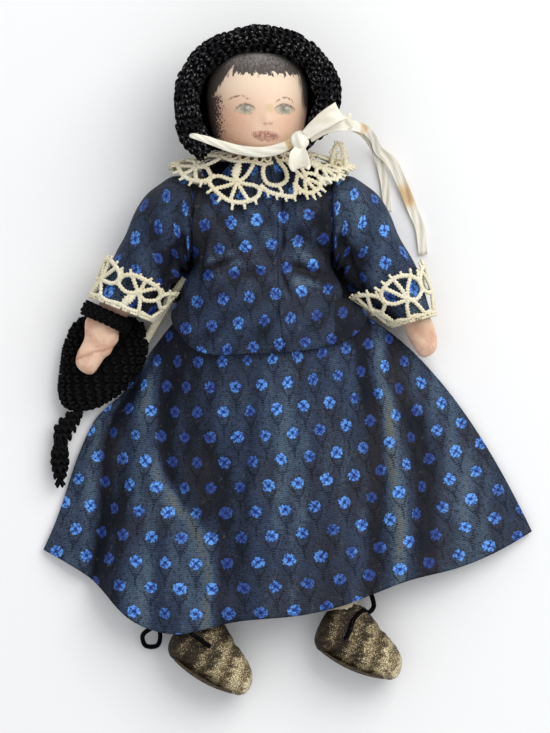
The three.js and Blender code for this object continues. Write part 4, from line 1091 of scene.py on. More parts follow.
def arm_surface(side, row, turn, grow, under):
    """Points round a sleeve at a row of its table, grown outward and kept above a height."""
    out_x, out_y, in_x, in_y, deep = through(sleeve_table + wrist_rows[side], row / last_row)
    z = spine_z + (wrist_z[side] - spine_z) * smooth(row, 3, last_row)
    half_x, half_y = (out_x - in_x) / 2, (out_y - in_y) / 2
    stretch = 1 + grow / np.hypot(half_x, half_y)
    x = shoulder_x + (out_x + in_x) / 2 + half_x * stretch * np.cos(turn)
    y = shoulder_y + (out_y + in_y) / 2 + half_y * stretch * np.cos(turn)
    return np.stack([side * x, y, np.maximum(z + (deep + grow) * np.sin(turn), under)], 1)


def sleeve_creases(turn, row):
    """How far the creases of a sleeve rise or sink, round it and along it."""
    bend = np.clip(-np.cos(turn), 0, 1) * bell(row, 4.4, 1.6)
    crease = 1.1 * np.sin(row * 4.0 + 2.6 * np.cos(turn)) * bend
    hollow = bell(turn - 0.12 * (row - 4), 2.25, 0.22) * smooth(row, 2.2, 3.2) * smooth(row, 7.4, 5.5)
    gathers = 0.22 * np.sin(turn * 14) * bell(row, 2.3, 0.5)
    return crease - 1.6 * hollow + 0.35 * np.sin(row * 3.1 - 3 * turn) * np.clip(row - 2.4, 0, 1) + gathers


def sleeve_piece(name, side, dim, flat):
    def place(across, along):
        turn, row = across * 2 * np.pi, along * last_row
        return arm_surface(side, row, turn, sleeve_creases(turn, row), sleeve_under)

    # Painted light and shade. Each sleeve is darker on its inner side, in the hollow at its bend, in its
    # sunken creases and near the shoulder, and lighter on top. The whole sleeve is darker by dim, most on
    # the right sleeve.
    def light(across, along):
        turn, row = across * 2 * np.pi, along * last_row
        inner = smooth(-np.cos(turn), 0.2, 0.9) * smooth(row, 2.2, 3.2)
        hollow = bell(turn + 0.2 * (row - 4), 2.3, 0.3) * smooth(row, 2.6, 3.6) * smooth(row, 6.4, 5)
        shade = 0.55 * sleeve_creases(turn, row) - 1.1 * inner - 1.0 * hollow
        return shade + 0.3 * np.clip(np.sin(turn), 0, 1) - dim - 0.5 * smooth(along, 0.3, 0.26)

    piece = closed_panel(name, 112, 100, place, flat, light)
    modify(piece, "SOLIDIFY", thickness=cloth_thick, offset=-1)
    return piece


for side, sign, dim, length in [("right", -1, 0.35, 0.064), ("left", 1, 0.1, 0.068)]:
    sleeve = sleeve_piece(side + "_jacket_sleeve", sign, dim, (65.8, length * 1000))
    dress(sleeve, brocade, side + "_sleeve", side + "_arm")
    side + "_arm"
    0.062 * length

# The collar and cuffs are cream cotton lace made by hand in knotted thread: a looped header, then
# wheels of plump chains that meet at small knots, and scallops edged with picots.
lace = Finish("tatted_lace", 0.2)
knots = lace.place.noise(1500, 3)
lace_age = lace.place.noise(110, 3)
lace_tone = lace_age.step(0.35, 0.7).tint((0.93, 0.89, 0.70), (0.84, 0.77, 0.55))
lace_tone = (knots.step(0.6, 0.36) * 0.4).tint(lace_tone, (0.50, 0.42, 0.26))
lace.coat(lace_tone, knots * 0.2 + 0.75, knots, 0.7, 0.0005)
by_hand = np.random.default_rng(11)
thread_sides = 7
knot_step = 0.5


def woven(name, points, faces):
    """A mesh from points in millimetres and the faces between them, left active."""
    mesh = bpy.data.meshes.new(name)
    mesh.from_pydata((np.array(points) * 0.001).tolist(), [], faces)
    piece = bpy.data.objects.new(name, mesh)
    scene.collection.objects.link(piece)
    bpy.ops.object.select_all(action="DESELECT")
    piece.select_set(True)
    bpy.context.view_layer.objects.active = piece
    return piece


class Lace:
    """Threads gathered into one mesh, each a knotted round chain laid on a curved surface."""

    def __init__(self, surface):
        self.surface = surface
        self.points = []
        self.faces = []

    def chain(self, route, half=0.7, thick=0.55, ends=1.0):
        """A chain through places (round, out), its half width swelling between its ends."""
        flat = curve_line([(a, b, 0) for a, b in route], 10 * (len(route) - 1))
        line, out = self.surface(flat[:, 0], flat[:, 1])
        length = np.insert(np.cumsum(np.linalg.norm(np.diff(line, axis=0), axis=1)), 0, 0)
        count = max(5, int(length[-1] / knot_step))
        at = np.linspace(0, length[-1], count)
        line = np.stack([np.interp(at, length, line[:, k]) for k in range(3)], 1)
        out = np.stack([np.interp(at, length, out[:, k]) for k in range(3)], 1)
        run = unit(np.gradient(line, axis=0))
        across = unit(np.cross(out, run))
        up = np.cross(run, across)
        knot = 1 + 0.22 * np.cos(np.arange(count) * np.pi)
        swell = ((ends + (1 - ends) * np.sin(np.pi * at / at[-1])) * knot)[:, None]
        start = len(self.points)
        for k in range(thread_sides):
            turn = 2 * np.pi * k / thread_sides
            ring = line + swell * (across * half * math.cos(turn) + up * thick * math.sin(turn))
            self.points.extend(ring.tolist())
        for k in range(thread_sides):
            a, b = start + k * count, start + (k + 1) % thread_sides * count
            self.faces.extend([(a + i, a + i + 1, b + i + 1, b + i) for i in range(count - 1)])
        first = [start + k * count for k in range(thread_sides)]
        self.faces.append(first)
        self.faces.append([corner + count - 1 for corner in reversed(first)])

    def ring(self, at, wide, tall, half=0.5, thick=0.42):
        turns = np.linspace(0, 2 * np.pi, 9)
        self.chain([(at[0] + wide * math.cos(t), at[1] + tall * math.sin(t)) for t in turns], half, thick)

    def repeat(self, middle, wide):
        """The way to lay a chain in one repeat, whose places run from -0.5 to 0.5 across it."""

        def thread(places, *sizes):
            self.chain([(middle + across * wide, out) for across, out in places], *sizes)

        return thread

    def made(self, name):
        piece = woven(name, self.points, self.faces)
        face_out()
        bpy.ops.object.shade_smooth()
        return piece


# Where each picot stands across its repeat and out from the header, and how far it leans.
motif_picots = [
    (-0.46, 0.72, -0.07), (-0.31, 0.85, -0.05), (-0.13, 0.91, -0.02),
    (0.06, 0.93, 0.01), (0.23, 0.89, 0.04), (0.39, 0.8, 0.06),
]


def lace_motif(net, middle, wide, leaf, header=0.2, hub=0.52):
    """One repeat of the edging: a knot with chains to the header, its neighbours and its scallop."""
    wobble = by_hand.uniform(-0.035, 0.035, 12)
    thread = net.repeat(middle, wide)
    knot = (0, hub + wobble[0])
    half_hub = 0.5 * hub
    net.ring((middle, knot[1]), wide * 0.045, 0.035, 0.75, 0.7)
    thread([knot, (0.13, hub - 0.12 + wobble[1]), (0.26, header + 0.02)])
    if leaf:
        thread([(-0.02, hub - 0.02), (-0.1, hub - 0.15), (-0.17, header)], 1.6, 0.6, 0.35)
    else:
        thread([knot, (-0.12, hub - 0.12 + wobble[2]), (-0.27, header + 0.02)])
    for way, sway in [(-1, wobble[3]), (1, wobble[4])]:
        thread([knot, (0.2 * way, hub - 0.05 + sway), (0.38 * way, hub - 0.01), (0.5 * way, hub + 0.06)])
    thread([knot, (-0.14, half_hub + 0.42 + wobble[5]), (-0.3, 0.85)])
    thread([knot, (0.01, half_hub + 0.44), (0.02 + wobble[6], 0.91)])
    thread([knot, (0.15, half_hub + 0.41 + wobble[7]), (0.31, 0.85)])
    scallop = [(-0.5, hub + 0.06), (-0.46, half_hub + 0.47), (-0.28, 0.87), (0, 0.92 + wobble[8])]
    scallop.extend([(0.28, 0.87), (0.46, half_hub + 0.47), (0.5, hub + 0.06)])
    thread(scallop, 0.78, 0.58)
    net.ring((middle + 0.5 * wide, hub + 0.05), wide * 0.035, 0.03, 0.65, 0.55)
    for across, out, lean in motif_picots:
        tip = 0.11 + 0.05 * by_hand.random()
        lean = lean + 0.05 * (by_hand.random() - 0.5)
        picot = [(across, out - 0.02), (across + lean * 0.6, out + tip * 0.5), (across + lean, out + tip)]
        thread(picot, 0.52, 0.46, 0.85)


def lace_loop(net, middle, wide, header=0.2):
    """A narrow repeat without a wheel: one open loop hung from the header over a row of picots."""
    thread = net.repeat(middle, wide)
    loop = [(-0.34, header), (-0.42, 0.36), (-0.3, 0.55), (0, 0.62)]
    loop.extend([(-across, out) for across, out in loop[2::-1]])
    thread(loop, 0.75, 0.58)
    thread([(-0.5, 0.58), (-0.3, 0.7), (0, 0.8), (0.3, 0.86), (0.5, 0.62)], 0.78, 0.58)
    thread([(0, 0.62), (0.05, 0.7), (0.05, 0.8)], 0.6, 0.5)
    for across, out in [(-0.3, 0.72), (-0.1, 0.79), (0.1, 0.85), (0.3, 0.87)]:
        thread([(across, out - 0.02), (across, out + 0.05), (across, out + 0.09)], 0.46, 0.42, 0.8)


def lace_header(net, low, high, repeats, deep=0.2):
    """The looped heading along the sewn edge: two cords with small rings between them."""
    steps = np.linspace(low, high, 60)
    net.chain([(s, 0.03 + 0.02 * math.sin(11 * s)) for s in steps], 0.55, 0.45)
    net.chain([(s, deep + 0.02 * math.sin(9 * s + 1)) for s in steps], 0.6, 0.5)
    size = (high - low) / repeats
    for i in range(repeats):
        middle = low + size * (i + 0.5)
        net.ring((middle, deep * (0.5 + 0.1 * by_hand.random())), size * 0.42, deep * 0.36, 0.4, 0.4)


def outward(place, turn, out, middle):
    """Points of a surface and the direction there that leads away from its middle."""
    step = 1e-3
    here = place(turn, out)
    across = place(turn + step, out) - place(turn - step, out)
    along = place(turn, out + step) - place(turn, out - step)
    way = unit(np.cross(across, along))
    return here, np.where(((here - middle) * way).sum(1)[:, None] < 0, -way, way)


def loose_end(corner, way, rise):
    """A loose end of the edging, which lies nearly flat from one corner on."""

    def surface(across, up):
        points = np.stack([corner[0] + way * across, corner[1] + up, corner[2] + rise * up], 1)
        return points, np.tile([0.0, 0.0, 1.0], (len(points), 1))

    return surface


collar_in, collar_out = 9.6, 30.8
collar_top, collar_low = 77.2, 74.6
collar_off = 0.35


def collar_place(turn, out):
    ahead = np.cos(turn)
    inner = collar_in + 6.5 * np.sin(turn) ** 2
    reach = inner + (collar_out - inner) * out
    fall = np.where(ahead > 0, 14.6 * np.abs(ahead) ** 1.75, 6 * np.abs(ahead) ** 1.2)
    front = 10.2 + 3.6 * out + 1.4 * np.sin(np.pi * np.clip(out, 0, 1))
    back = 8.6 + 4.3 * out
    top = collar_top + 1.6 * np.clip(ahead, 0, 1) + 1.5 * np.sin(turn) ** 2
    y = top + (collar_low - fall - top) * out
    z = spine_z + ahead * np.where(ahead > 0, front, back)
    wavy = 0.7 * np.sin(turn * 8) * out**2
    lift = 2.2 * np.clip(np.cos(turn + 1.3), 0, 1) ** 4 * np.clip(out, 0, 1) ** 1.5
    z = np.maximum(z + lift + wavy * (ahead > -0.2), 0.7)
    return np.stack([reach * np.sin(turn), y + 0.6 * wavy, z], 1)


def collar_surface(turn, out):
    points, way = outward(collar_place, turn, out, (0, 70, spine_z))
    return points + way * collar_off, way


collar_net = Lace(collar_surface)
collar_join = 0.3
lace_header(collar_net, collar_join + 0.05, collar_join + 2 * np.pi - 0.05, 30)
# The middle and width of each wheel round the neck, and whether it holds a leaf.
collar_wheels = [
    (-1.79, 0.7, True), (-1.09, 0.7, False), (-0.38, 0.72, True), (0.65, 0.34, False), (0.99, 0.34, True),
    (1.39, 0.45, False), (1.95, 0.68, False), (2.63, 0.68, True), (3.26, 0.58, False), (3.845, 0.59, True),
]
for middle, wide, leaf in collar_wheels:
    lace_motif(collar_net, middle, wide, leaf, hub=0.6)
lace_loop(collar_net, 0.23, 0.5)
collar_net.ring((-1.5, 0.8), 0.09, 0.12, 0.7, 0.6)
# One end of the collar's edging stands up beside the bow.
collar_net.surface = loose_end((25.8, 72.4, 17.2), 1, 0.12)
collar_net.chain([(-2.6, 0), (-2.5, 4.5), (-1.6, 8), (-0.2, 10)], 0.8, 0.6)
collar_net.chain([(-0.2, 10), (1.3, 7), (1.9, 3.6), (2, 0)], 0.8, 0.6)
for eye in [(-0.4, 2.2), (0.1, 5.6)]:
    collar_net.ring(eye, 1.0, 1.2, 0.5, 0.45)
end_picots = [
    ((-2.2, 6.2), (-3.4, 7)), ((-1, 9), (-1.5, 10.4)), ((0.6, 8.6), (1.3, 9.7)), ((1.8, 4.6), (3, 5.2)),
]
for foot, tip in end_picots:
    half_way = ((foot[0] + tip[0]) / 2, (foot[1] + tip[1]) / 2)
    collar_net.chain([foot, half_way, tip], 0.5, 0.45)
collar = collar_net.made("lace_collar")
dress(collar, lace, "collar_lace", "torso")

cuff_past, cuff_back, cuff_under = 0.08, 1.42, 0.8


def cuff_piece(name, side, first_leaf, first_turn):
    """A cuff of five repeats, sewn on at the wrist and turned back over the sleeve."""

    def place(turn, out, grow=None):
        raised = 1.0 + 1.9 * out if grow is None else grow
        return arm_surface(side, last_row + cuff_past - cuff_back * out, turn, raised, cuff_under)

    def surface(turn, out):
        return outward(place, turn, out, place(turn, out, -6.0))

    net = Lace(surface)
    repeats = 5
    step = 2 * np.pi / repeats
    header = 0.17
    lace_header(net, 0, 2 * np.pi, 24, header)
    for i in range(repeats):
        lace_motif(net, first_turn + step * i, step, (i + first_leaf) % 2 == 0, header)
    if side < 0:
        # The end of the right cuff's tape hangs loose beside the jacket.
        net.surface = loose_end((-25.9, 37.4, 9.5), -1, 0.22)
        net.chain([(0, 0), (3.6, -5.4), (8.6, -13.4), (13.2, -21.6)], 1.5, 0.3, 0.8)
    return net.made(name)


for side, sign, first_leaf, first_turn in [("right", -1, 0, 1.75), ("left", 1, 1, 1.35)]:
    cuff = cuff_piece(side + "_lace_cuff", sign, first_leaf, first_turn)
    dress(cuff, lace, side + "_cuff_lace", side + "_arm")
    side + "_sleeve"

# The bonnet is crocheted in thick black yarn: a round cap behind the head, and a plump rolled
# brim that arches from cheek to cheek. Each stitch is a pair of short leaves of yarn.
leaf_long, leaf_wide, leaf_thick, leaf_lean = 1.25, 0.62, 0.6, 0.5
leaf = added("yarn_leaf", bpy.ops.mesh.primitive_uv_sphere_add, segments=6, ring_count=4, radius=1)
leaf_points = points_of(leaf) * (leaf_wide, leaf_thick, leaf_long)
leaf_faces = [tuple(face.vertices) for face in leaf.data.polygons]
bpy.data.objects.remove(leaf)
stitch_points, stitch_faces = [], []
for way in (-1, 1):
    wide, thick, long = leaf_points.T
    x, y = turned(long, wide, leaf_lean * way)
    shift = len(stitch_points)
    stitch_points.extend(np.stack([x, y + leaf_wide * way, thick], 1).tolist())
    stitch_faces.extend([tuple(corner + shift for corner in face) for face in leaf_faces])
stitch_points = np.array(stitch_points)
uneven = np.random.default_rng(7)


def crochet(piece, seats):
    """Works stitches over a piece. A seat is a place, the way its row runs, the way out and a size."""
    points, faces = [], []
    for place, run, out, size in seats:
        run = unit(run - out * (run @ out))
        axes = np.stack([run, np.cross(out, run), out])
        shift = len(points)
        points.extend((place + size * (stitch_points @ axes)).tolist())
        faces.extend([tuple(corner + shift for corner in face) for face in stitch_faces])
    stitches = woven(piece.name + "_stitches", points, faces)
    note(stitches, "crest", np.tile(stitch_points[:, 2] / leaf_thick, len(seats)))
    join(piece, stitches)
    face_out()
    bpy.ops.object.shade_smooth()


def round_turns(row, count):
    """The turns of a round of stitches; every other round is shifted by half a stitch."""
    return 2 * np.pi * (np.arange(count) + 0.5 * (row % 2)) / count


def seated(places, runs, ways, size, more):
    """Seats for stitches of uneven sizes."""
    return [(place, run, way, size + more * uneven.random()) for place, run, way in zip(places, runs, ways)]


bonnet_x, bonnet_y = -1.5, 96.73
bonnet_middle = np.array([bonnet_x, bonnet_y, 17])
bonnet_half = np.array([24.5, 23, 17])
cap_stitch = 2.6
cap_front, cap_low = 0.0225, 0.0785
stitch_front, stitch_low = 22, 79.5
neck_middle, neck_half = np.array([bonnet_x, 75.4, 23]), np.array([17.8, 12, 20.8])


def at_neck(place):
    """Whether a place on the cap falls in the opening for the neck."""
    return (((place - neck_middle) / neck_half) ** 2).sum() < 1


bonnet_cap = added("bonnet_cap", bpy.ops.mesh.primitive_uv_sphere_add, segments=64, ring_count=40, radius=1)
lay(bonnet_cap, bonnet_middle + points_of(bonnet_cap) * (bonnet_half - 0.7))
bpy.ops.object.mode_set(mode="EDIT")
for edge, way in [((0, 0, cap_front), (0, 0, 1)), ((0, cap_low, 0), (0, -1, 0))]:
    bpy.ops.mesh.select_all(action="SELECT")
    bpy.ops.mesh.bisect(plane_co=edge, plane_no=way, clear_outer=True)
bpy.ops.object.mode_set(mode="OBJECT")
cut_away(bonnet_cap, at_neck)
modify(bonnet_cap, "SOLIDIFY", thickness=0.0016, offset=-1)
cap_seats = []
for row, rise in enumerate(np.arange(-1.4, 0.34, 0.125)):
    ring = bonnet_half[0] * math.cos(rise)
    for turn in round_turns(row, max(4, int(2 * np.pi * ring * 0.97 / cap_stitch))):
        out = np.array([math.cos(turn) * math.cos(rise), math.sin(turn) * math.cos(rise), math.sin(rise)])
        place = bonnet_middle + bonnet_half * out
        if place[1] > stitch_low and place[2] < stitch_front and not at_neck(place - (0, 1.2, 0)):
            run = np.array([-math.sin(turn), math.cos(turn), 0])
            way = unit(out / bonnet_half)
            cap_seats.extend(seated([place - way * 0.5], [run], [way], 1.02, 0.1))
crochet(bonnet_cap, cap_seats)
dress(bonnet_cap, yarn, "bonnet_crown", "head")

brim_z = 27.3
brim_wide, brim_tall, brim_tilt = 23.3, 19.8, 0.07
brim_low, brim_span = -0.72, np.pi + 1.6
brim_half, brim_deep = 4.4, 4.9
brim_rows, brim_stitch = 13, 2.5


def brim_middle(angle):
    """The middle line of the brim, whose right end hangs lower than the left one."""
    droop = smooth(angle, np.pi, np.pi + 0.75)
    x = brim_wide * np.cos(angle) * (1 + 0.12 * droop)
    y = brim_tall * np.sin(angle) * (1 + 0.1 * droop)
    return np.stack([bonnet_x + x - brim_tilt * y, bonnet_y + y + brim_tilt * x, brim_z + 0 * angle], 1)


def brim_place(angle, turn, grow):
    lumpy = 1 + 0.05 * np.sin(5.3 * angle + 1) + 0.04 * np.sin(9.1 * angle)
    taper = (1 - 0.35 * smooth(-angle, 0.48, 0.75)) * lumpy
    reach = (brim_half + grow) * np.cos(turn) * taper
    rise = (brim_deep + grow) * np.sin(turn) * taper
    return brim_middle(angle) + np.stack([reach * np.cos(angle), reach * np.sin(angle), rise], 1)


def brim_roll(turn, share):
    angle = brim_low + brim_span * share
    middle = brim_middle(angle)
    return middle + (brim_place(angle, turn, -0.9) - middle) * rounded(share, 0.04)[:, None]


bonnet_brim = stuffed("bonnet_rolled_brim", 32, 120, brim_roll)
brim_seats = []
for row in range(brim_rows):
    turn = 2 * np.pi * row / brim_rows
    count = int(brim_span * (brim_wide + brim_half * math.cos(turn)) / brim_stitch)
    angles = brim_low + 0.02 + (brim_span - 0.04) * (np.arange(count) + 0.25 + 0.5 * (row % 2)) / count
    places = brim_place(angles, turn, -0.6)
    ways = unit(places - brim_middle(angles))
    for angle, place, way in zip(angles, places, ways):
        run = np.array([-math.sin(angle), math.cos(angle), 0]) + 0.7 * (uneven.random(3) - 0.5)
        place = place + 0.7 * (uneven.random(3) - 0.5)
        brim_seats.append((place, run, way, 0.82 + 0.42 * uneven.random()))
crochet(bonnet_brim, brim_seats)
dress(bonnet_brim, yarn, "bonnet_brim", "head")

# The ribbon is narrow ivory silk, tied under the chin: a band from cheek to cheek, a knot and
# two loops beside the left cheek, and two tails that fall to the table, stained tan with age.
ribbon_silk = Finish("ivory_silk_ribbon", 0.35)
ribbon_silk.feed("Sheen Weight", 0.15)
silk_u = ribbon_silk.flat.parts()[0]
silk_lines = (silk_u * 26.0).sine() * 0.5 + 0.5
silk_age = ribbon_silk.place.noise(150, 4)
silk_fold = ribbon_silk.place.noise(420, 3, (1, 0.4, 1))
stain_told = ribbon_silk.told("stain")
stain = (stain_told + (silk_age - 0.5) * 1.6 + (silk_fold - 0.5) * 1.2) * stain_told.step(0.02, 0.6)
silk_tone = silk_age.step(0.4, 0.75).tint((0.88, 0.85, 0.74), (0.80, 0.75, 0.60))
edge_line = abs(silk_u - 0.5).step(0.43, 0.5)
silk_tone = layered(silk_tone, [
    (stain.step(0.05, 1.0), 0.75, (0.74, 0.47, 0.19)),
    (stain.step(0.7, 1.3), 0.4, (0.50, 0.31, 0.14)),
    (silk_lines * 0.1 + edge_line * 0.25, 1, (0.60, 0.53, 0.38)),
])
silk_relief = silk_lines * 0.3 + silk_fold * 1.2 + edge_line * 0.6
ribbon_silk.coat(silk_tone, silk_fold * 0.25 + 0.32, silk_relief, 0.35, 0.0003)
ribbon_columns = 12


def ribbon_piece(name, line, widths, across, cup, stains=()):
    """A strip of ribbon along a line, lightly cupped, with its stains marked."""
    steps = len(line) - 1
    run = unit(np.gradient(line, axis=0))
    wide = curve_line(across, steps)
    side = unit(wide - run * (wide * run).sum(1)[:, None])
    up = np.cross(run, side)
    width = np.interp(np.linspace(0, 1, steps + 1), np.linspace(0, 1, len(widths)), widths)
    share, along = shares(ribbon_columns, steps)
    row = np.rint(along * steps).astype(int)
    offset = share - 0.5
    ripple = cup * (4 * offset**2 - 0.5) * width[row] * 0.3 + 0.12 * np.sin(row * 0.55 + 9 * offset)
    points = line[row] + side[row] * (offset * width[row])[:, None] + up[row] * ripple[:, None]
    piece = panel(name, ribbon_columns, steps, points, np.stack([share, along * steps], 1))
    note(piece, "stain", sum((bell(along, at, long) for at, long in stains), 0 * along))
    modify(piece, "SOLIDIFY", thickness=0.00035, offset=0)
    return piece


chin_at = np.array([0, 79.0, 32.2])
knot_at = np.array([12.5, 82.4, 34.6])
# Places from the middle of the chin, and for the loops, stub and tails from the knot.
chin_route = [
    (-24.6, 5.2, -0.8), (-22.4, 4.9, 0.7), (-19.5, 4.1, 0.8), (-15, 2.6, 0.3),
    (-8.5, 0.6, -0.2), (0, -0.4, 0.5), (5.5, 0.6, 1.3), (9.6, 2.5, 2.0),
]
upper_loop = [
    (1.6, 1.5, 1.2), (6, 5, 3.2), (10.4, 8, 3.8), (13.2, 9.6, 2.6), (12.6, 9.2, 1.1), (9, 6.8, 0.6),
    (3, 2.6, 0.4),
]
lower_loop = [
    (0.2, -1.6, 0.9), (-0.4, -5, 2.4), (-0.3, -8.8, 1.6), (0.2, -9.3, 0.1), (0.4, -6, -1.1),
    (0.4, -2.2, -0.7),
]
stub_route = [(16.4, 4, -2.9), (16, 5.8, -2.4), (15.6, 7.4, -2), (15.3, 8.8, -1.8)]
both_tails = [
    (3.2, 0.8, -1.7), (8, 3.6, -1.7), (13, 5, -2), (16.4, 5.1, -5.4), (18.8, 4.6, -11.5), (21, 3.6, -19.5),
    (23.2, 1.4, -27.5), (25.4, -2.2, -32.2),
]
# Per strip its name, start, route, steps, widths, directions across it, cup and stains.
strips = [
    ("chin_band", chin_at, chin_route, 64, [0.9, 1.9, 2.5, 3.1, 3.5, 2.9],
     [(0.2, 1, 0), (0.1, 1, 0.25), (-0.1, 1, 0.2)], -0.5, [(0.97, 0.025)]),
    ("bow_upper_loop", knot_at, upper_loop, 48, [3.2, 5.8, 6.6, 6.2, 3.6],
     [(-0.6, 0.8, 0), (-0.6, 0.8, 0.1), (-0.6, 0.8, 0)], 0.35, []),
    ("ribbon_stub", knot_at, stub_route, 16, [2.4, 2.9, 3.0], [(1, 0.1, 0), (1, 0.2, 0.1)], 0.5, []),
    ("bow_lower_loop", knot_at, lower_loop, 48, [2.6, 5.8, 6.8, 4.2, 6.4, 5.2, 2.6],
     [(1, 0.2, 0), (1, 0.25, 0)], 0.6, []),
]
bow = []
for name, start, route, steps, widths, across, cup, stains in strips:
    bow.append(ribbon_piece(name, curve_line(start + np.array(route), steps), widths, across, cup, stains))
chin_band, loop_up, stub, loop_down = bow
join(loop_up, stub)
knot_tilt = 0.7
knot_half, knot_long, knot_deep = 2.7, 3.2, 2.3


def knot_place(turn, share):
    along = (share - 0.5) * 2
    round_off = np.sqrt(np.clip(1 - np.abs(along) ** 2.6, 0, 1))
    pleat = round_off * (1 + 0.14 * np.sin(5 * turn + 3 * along))
    x, y = turned(knot_half * pleat * np.cos(turn), knot_long * along, knot_tilt)
    return knot_at + np.stack([x, y, knot_deep * pleat * np.sin(turn)], 1)


knot = stuffed("ribbon_tied_knot", 40, 28, knot_place)
cut_out(knot, np.full((len(knot.data.vertices), 2), 0.25))
bow_nodes = ["chin_ribbon", "bow_loop_upper", "bow_loop_lower", "ribbon_knot"]
for node, piece in zip(bow_nodes, [chin_band, loop_up, loop_down, knot]):
    dress(piece, ribbon_silk, node, "head")

# The long tail lies on top of the short one until they part on the table.
under_tail = knot_at + np.array(both_tails)
over_tail = []
for i, place in enumerate(under_tail):
    steep = smooth(i, 2, 4) * (1 - 0.5 * smooth(i, 6, 8))
    over_tail.append(place + (1.6 * steep, 0, 1.15 * (1 - 0.6 * steep)))
long_end = [(43.2, 76.4, 2.6), (47.2, 68.4, 1.4), (50.6, 60, 0.6), (52.8, 54.6, 0.6), (54, 45.4, 0.6)]
short_end = [(39.6, 75.6, 1.1), (41, 69.6, 0.6), (41.6, 64.6, 0.6), (42.2, 59.6, 0.6)]
tail_across = [
    (-0.4, 1, 0), (-0.2, 1, 0), (0.2, 1, 0), (0.8, 0.8, 0.2), (1, 0.4, 0.1), (1, 0.3, 0), (1, 0.1, 0),
]
# Per tail its kind, route, steps, widths, stains, width of the ribbon and length in metres.
tails = [
    ("long", [*over_tail, *long_end], 84, [3.0, 3.8, 3.4, 2.6, 3.8, 3.4, 3.0],
     [(0.37, 0.05), (0.78, 0.05)], 0.0044, 0.086),
    ("short", [*under_tail, *short_end], 72, [3.0, 3.6, 3.2, 2.4, 2.8, 2.4], [(0.41, 0.05)], 0.0042, 0.068),
]
for kind, route, steps, widths, stains, width, length in tails:
    line = curve_line(route, steps)
    tail = ribbon_piece("ribbon_" + kind + "_tail", line, widths, tail_across, 0.15, stains)
    dress(tail, ribbon_silk, "ribbon_tail_" + kind)
    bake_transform(tail)

# The bag is a flat crocheted pouch of black yarn under the right hand. Its strap is a ring round
# the wrist, and a knotted yarn tassel with two swellings hangs from its tip.
bag_yarn = Finish("soft_black_yarn", 0.12)
bag_fibre = bag_yarn.place.noise(1700, 3)
# Painted shade: the crevices between the stitches are near black and the stitch tops a little lighter.
bag_tone = bag_yarn.told("crest").step(0.2, 1.0) * (bag_fibre.step(0.45, 0.74) + 0.2)
bag_tone = bag_tone.tint((0.0010, 0.0010, 0.0014), (0.017, 0.0165, 0.018))
bag_yarn.coat(bag_tone, bag_fibre * 0.2 + 0.75, bag_fibre, 0.8, 0.0004)
bag_x, bag_z, bag_top = -55.1, 4.4, 25.0
bag_long, bag_half, bag_deep = 31.5, 15.0, 8.0
bag_under = 0.5
bag_stitch, tassel_stitch = 2.5, 2.2
# The shift to the left, then the width, depth and place down the bag as shares of its own.
bag_table = [
    [2.8, 0.38, 0.3, 0], [3.5, 0.77, 0.55, 0.1], [2.8, 0.94, 0.86, 0.32], [1.1, 0.91, 1, 0.56],
    [-2.2, 0.73, 0.92, 0.8], [-5, 0.44, 0.6, 0.95], [-5.6, 0.16, 0.3, 1],
]


def bag_point(turn, share, grow):
    aside, wide, thick, down = through(bag_table, share)
    pull = rounded(share, 0.05)
    x = bag_x + aside + (wide * bag_half + grow) * pull * np.sin(turn)
    z = bag_z + (thick * bag_deep / 2 + grow) * pull * np.cos(turn)
    return np.stack([x, bag_top - down * bag_long, np.maximum(z, bag_under)], 1)


bag = stuffed("crochet_bag", 48, 40, lambda turn, share: bag_point(turn, share, -0.8))
bag_seats = []
for row, share in enumerate(np.linspace(0.05, 0.97, 15)):
    wide, thick = through(bag_table, np.array([share]))[1:3, 0]
    a, b = wide * bag_half, thick * bag_deep / 2
    girth = np.pi * (3 * (a + b) - math.sqrt((3 * a + b) * (a + 3 * b)))
    turns = round_turns(row, max(6, int(girth / bag_stitch)))
    down = share + 0 * turns
    places = bag_point(turns, down, -0.35)
    runs = bag_point(turns + 0.05, down, -0.35) - bag_point(turns - 0.05, down, -0.35)
    downs = bag_point(turns, down + 0.02, -0.35) - bag_point(turns, down - 0.02, -0.35)
    outs = np.cross(runs, downs)
    kept = np.linalg.norm(outs, axis=1) > 1e-6
    places, runs, outs = places[kept], runs[kept], unit(outs[kept])
    inward = (outs * (places - np.array([bag_x, 0, bag_z])) * (1, 0, 1)).sum(1) < 0
    bag_seats.extend(seated(places, runs + 1e-6, np.where(inward[:, None], -outs, outs), 0.95, 0.2))
crochet(bag, bag_seats)
dress(bag, bag_yarn, "bag_pouch", "bag")

strap_middle = np.array([-(shoulder_x + 28.2), shoulder_y - 33.2, wrist_z[-1]])
strap_turn = 0.42
strap_half, strap_thick, strap_wide, strap_flat = 7.6, 1.2, 2.5, 1.7
strap_rows, strap_stitches = 8, 22


def strap_ring(around, turn, grow):
    half = strap_half + (strap_thick + grow) * np.cos(turn)
    x, y = turned(half * np.cos(around), -(strap_wide + grow) * np.sin(turn), strap_turn)
    return strap_middle + np.stack([-x, y, (half - strap_flat) * np.sin(around)], 1)


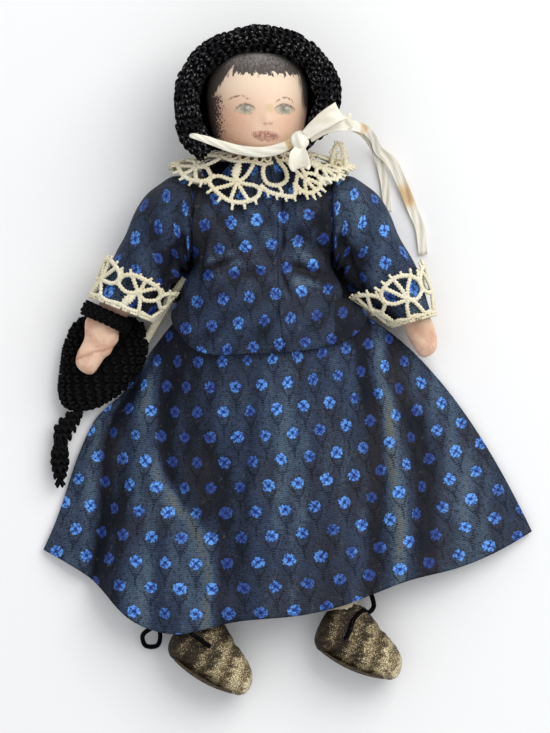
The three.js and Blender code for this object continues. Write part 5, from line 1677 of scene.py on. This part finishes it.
hoop_shape = {"major_segments": 60, "minor_segments": 12, "major_radius": 1, "minor_radius": 0.25}
strap = added("bag_wrist_strap", bpy.ops.mesh.primitive_torus_add, **hoop_shape)
hoop_x, hoop_y, hoop_z = points_of(strap).T
hoop_turn = np.arctan2(hoop_z, np.hypot(hoop_x, hoop_y) - 1)
lay(strap, strap_ring(np.arctan2(hoop_y, hoop_x), hoop_turn, -0.25))
strap_seats = []
for row in range(strap_rows):
    turn = 2 * np.pi * row / strap_rows
    arounds = round_turns(row, strap_stitches)
    places = strap_ring(arounds, turn, 0)
    ways = unit(places - strap_ring(arounds, turn, -1.19))
    runs = strap_ring(arounds + 0.05, turn, 0) - places
    strap_seats.extend(seated(places - ways * 0.3, runs, ways, 0.72, 0.1))
crochet(strap, strap_seats)
dress(strap, bag_yarn, "bag_strap", "right_arm")

tassel_top = bag_top - bag_long - 0.4
tassel_z = 3.9
# The place down from the bag's tip, the radius and the shift to the right.
tassel_table = [
    [0, 1.1, 6.2], [1.8, 2.8, 8.2], [5.5, 3.6, 10.6], [9.5, 2.6, 12], [11.5, 1.7, 12.5],
    [13.5, 2.7, 12.6], [17.5, 3, 12.6], [21, 2, 12.6], [25, 1.1, 12.6],
]


def tassel_point(turn, share, grow):
    down, radius, aside = through(tassel_table, share)
    reach = (radius + grow) * rounded(share, 0.05)
    z = np.maximum(tassel_z + reach * np.cos(turn), bag_under)
    return np.stack([bag_x - aside + reach * np.sin(turn), tassel_top - down, z], 1)


tassel = stuffed("bag_tassel_cord", 28, 48, lambda turn, share: tassel_point(turn, share, -0.6))
tassel_seats = []
for row, share in enumerate(np.linspace(0.03, 0.97, 13)):
    radius = through(tassel_table, np.array([share]))[1, 0]
    turns = round_turns(row, max(4, int(2 * np.pi * radius / tassel_stitch))) + 0.4 * row
    places = tassel_point(turns, share + 0 * turns, -0.4)
    runs = np.stack([0.35 * np.cos(turns), 0 * turns - 1, -0.35 * np.sin(turns)], 1)
    ways = np.stack([np.sin(turns), 0 * turns, np.cos(turns)], 1)
    tassel_seats.extend(seated(places, runs, ways, 0.95, 0.3))
crochet(tassel, tassel_seats)
dress(tassel, bag_yarn, "bag_tassel", "bag")
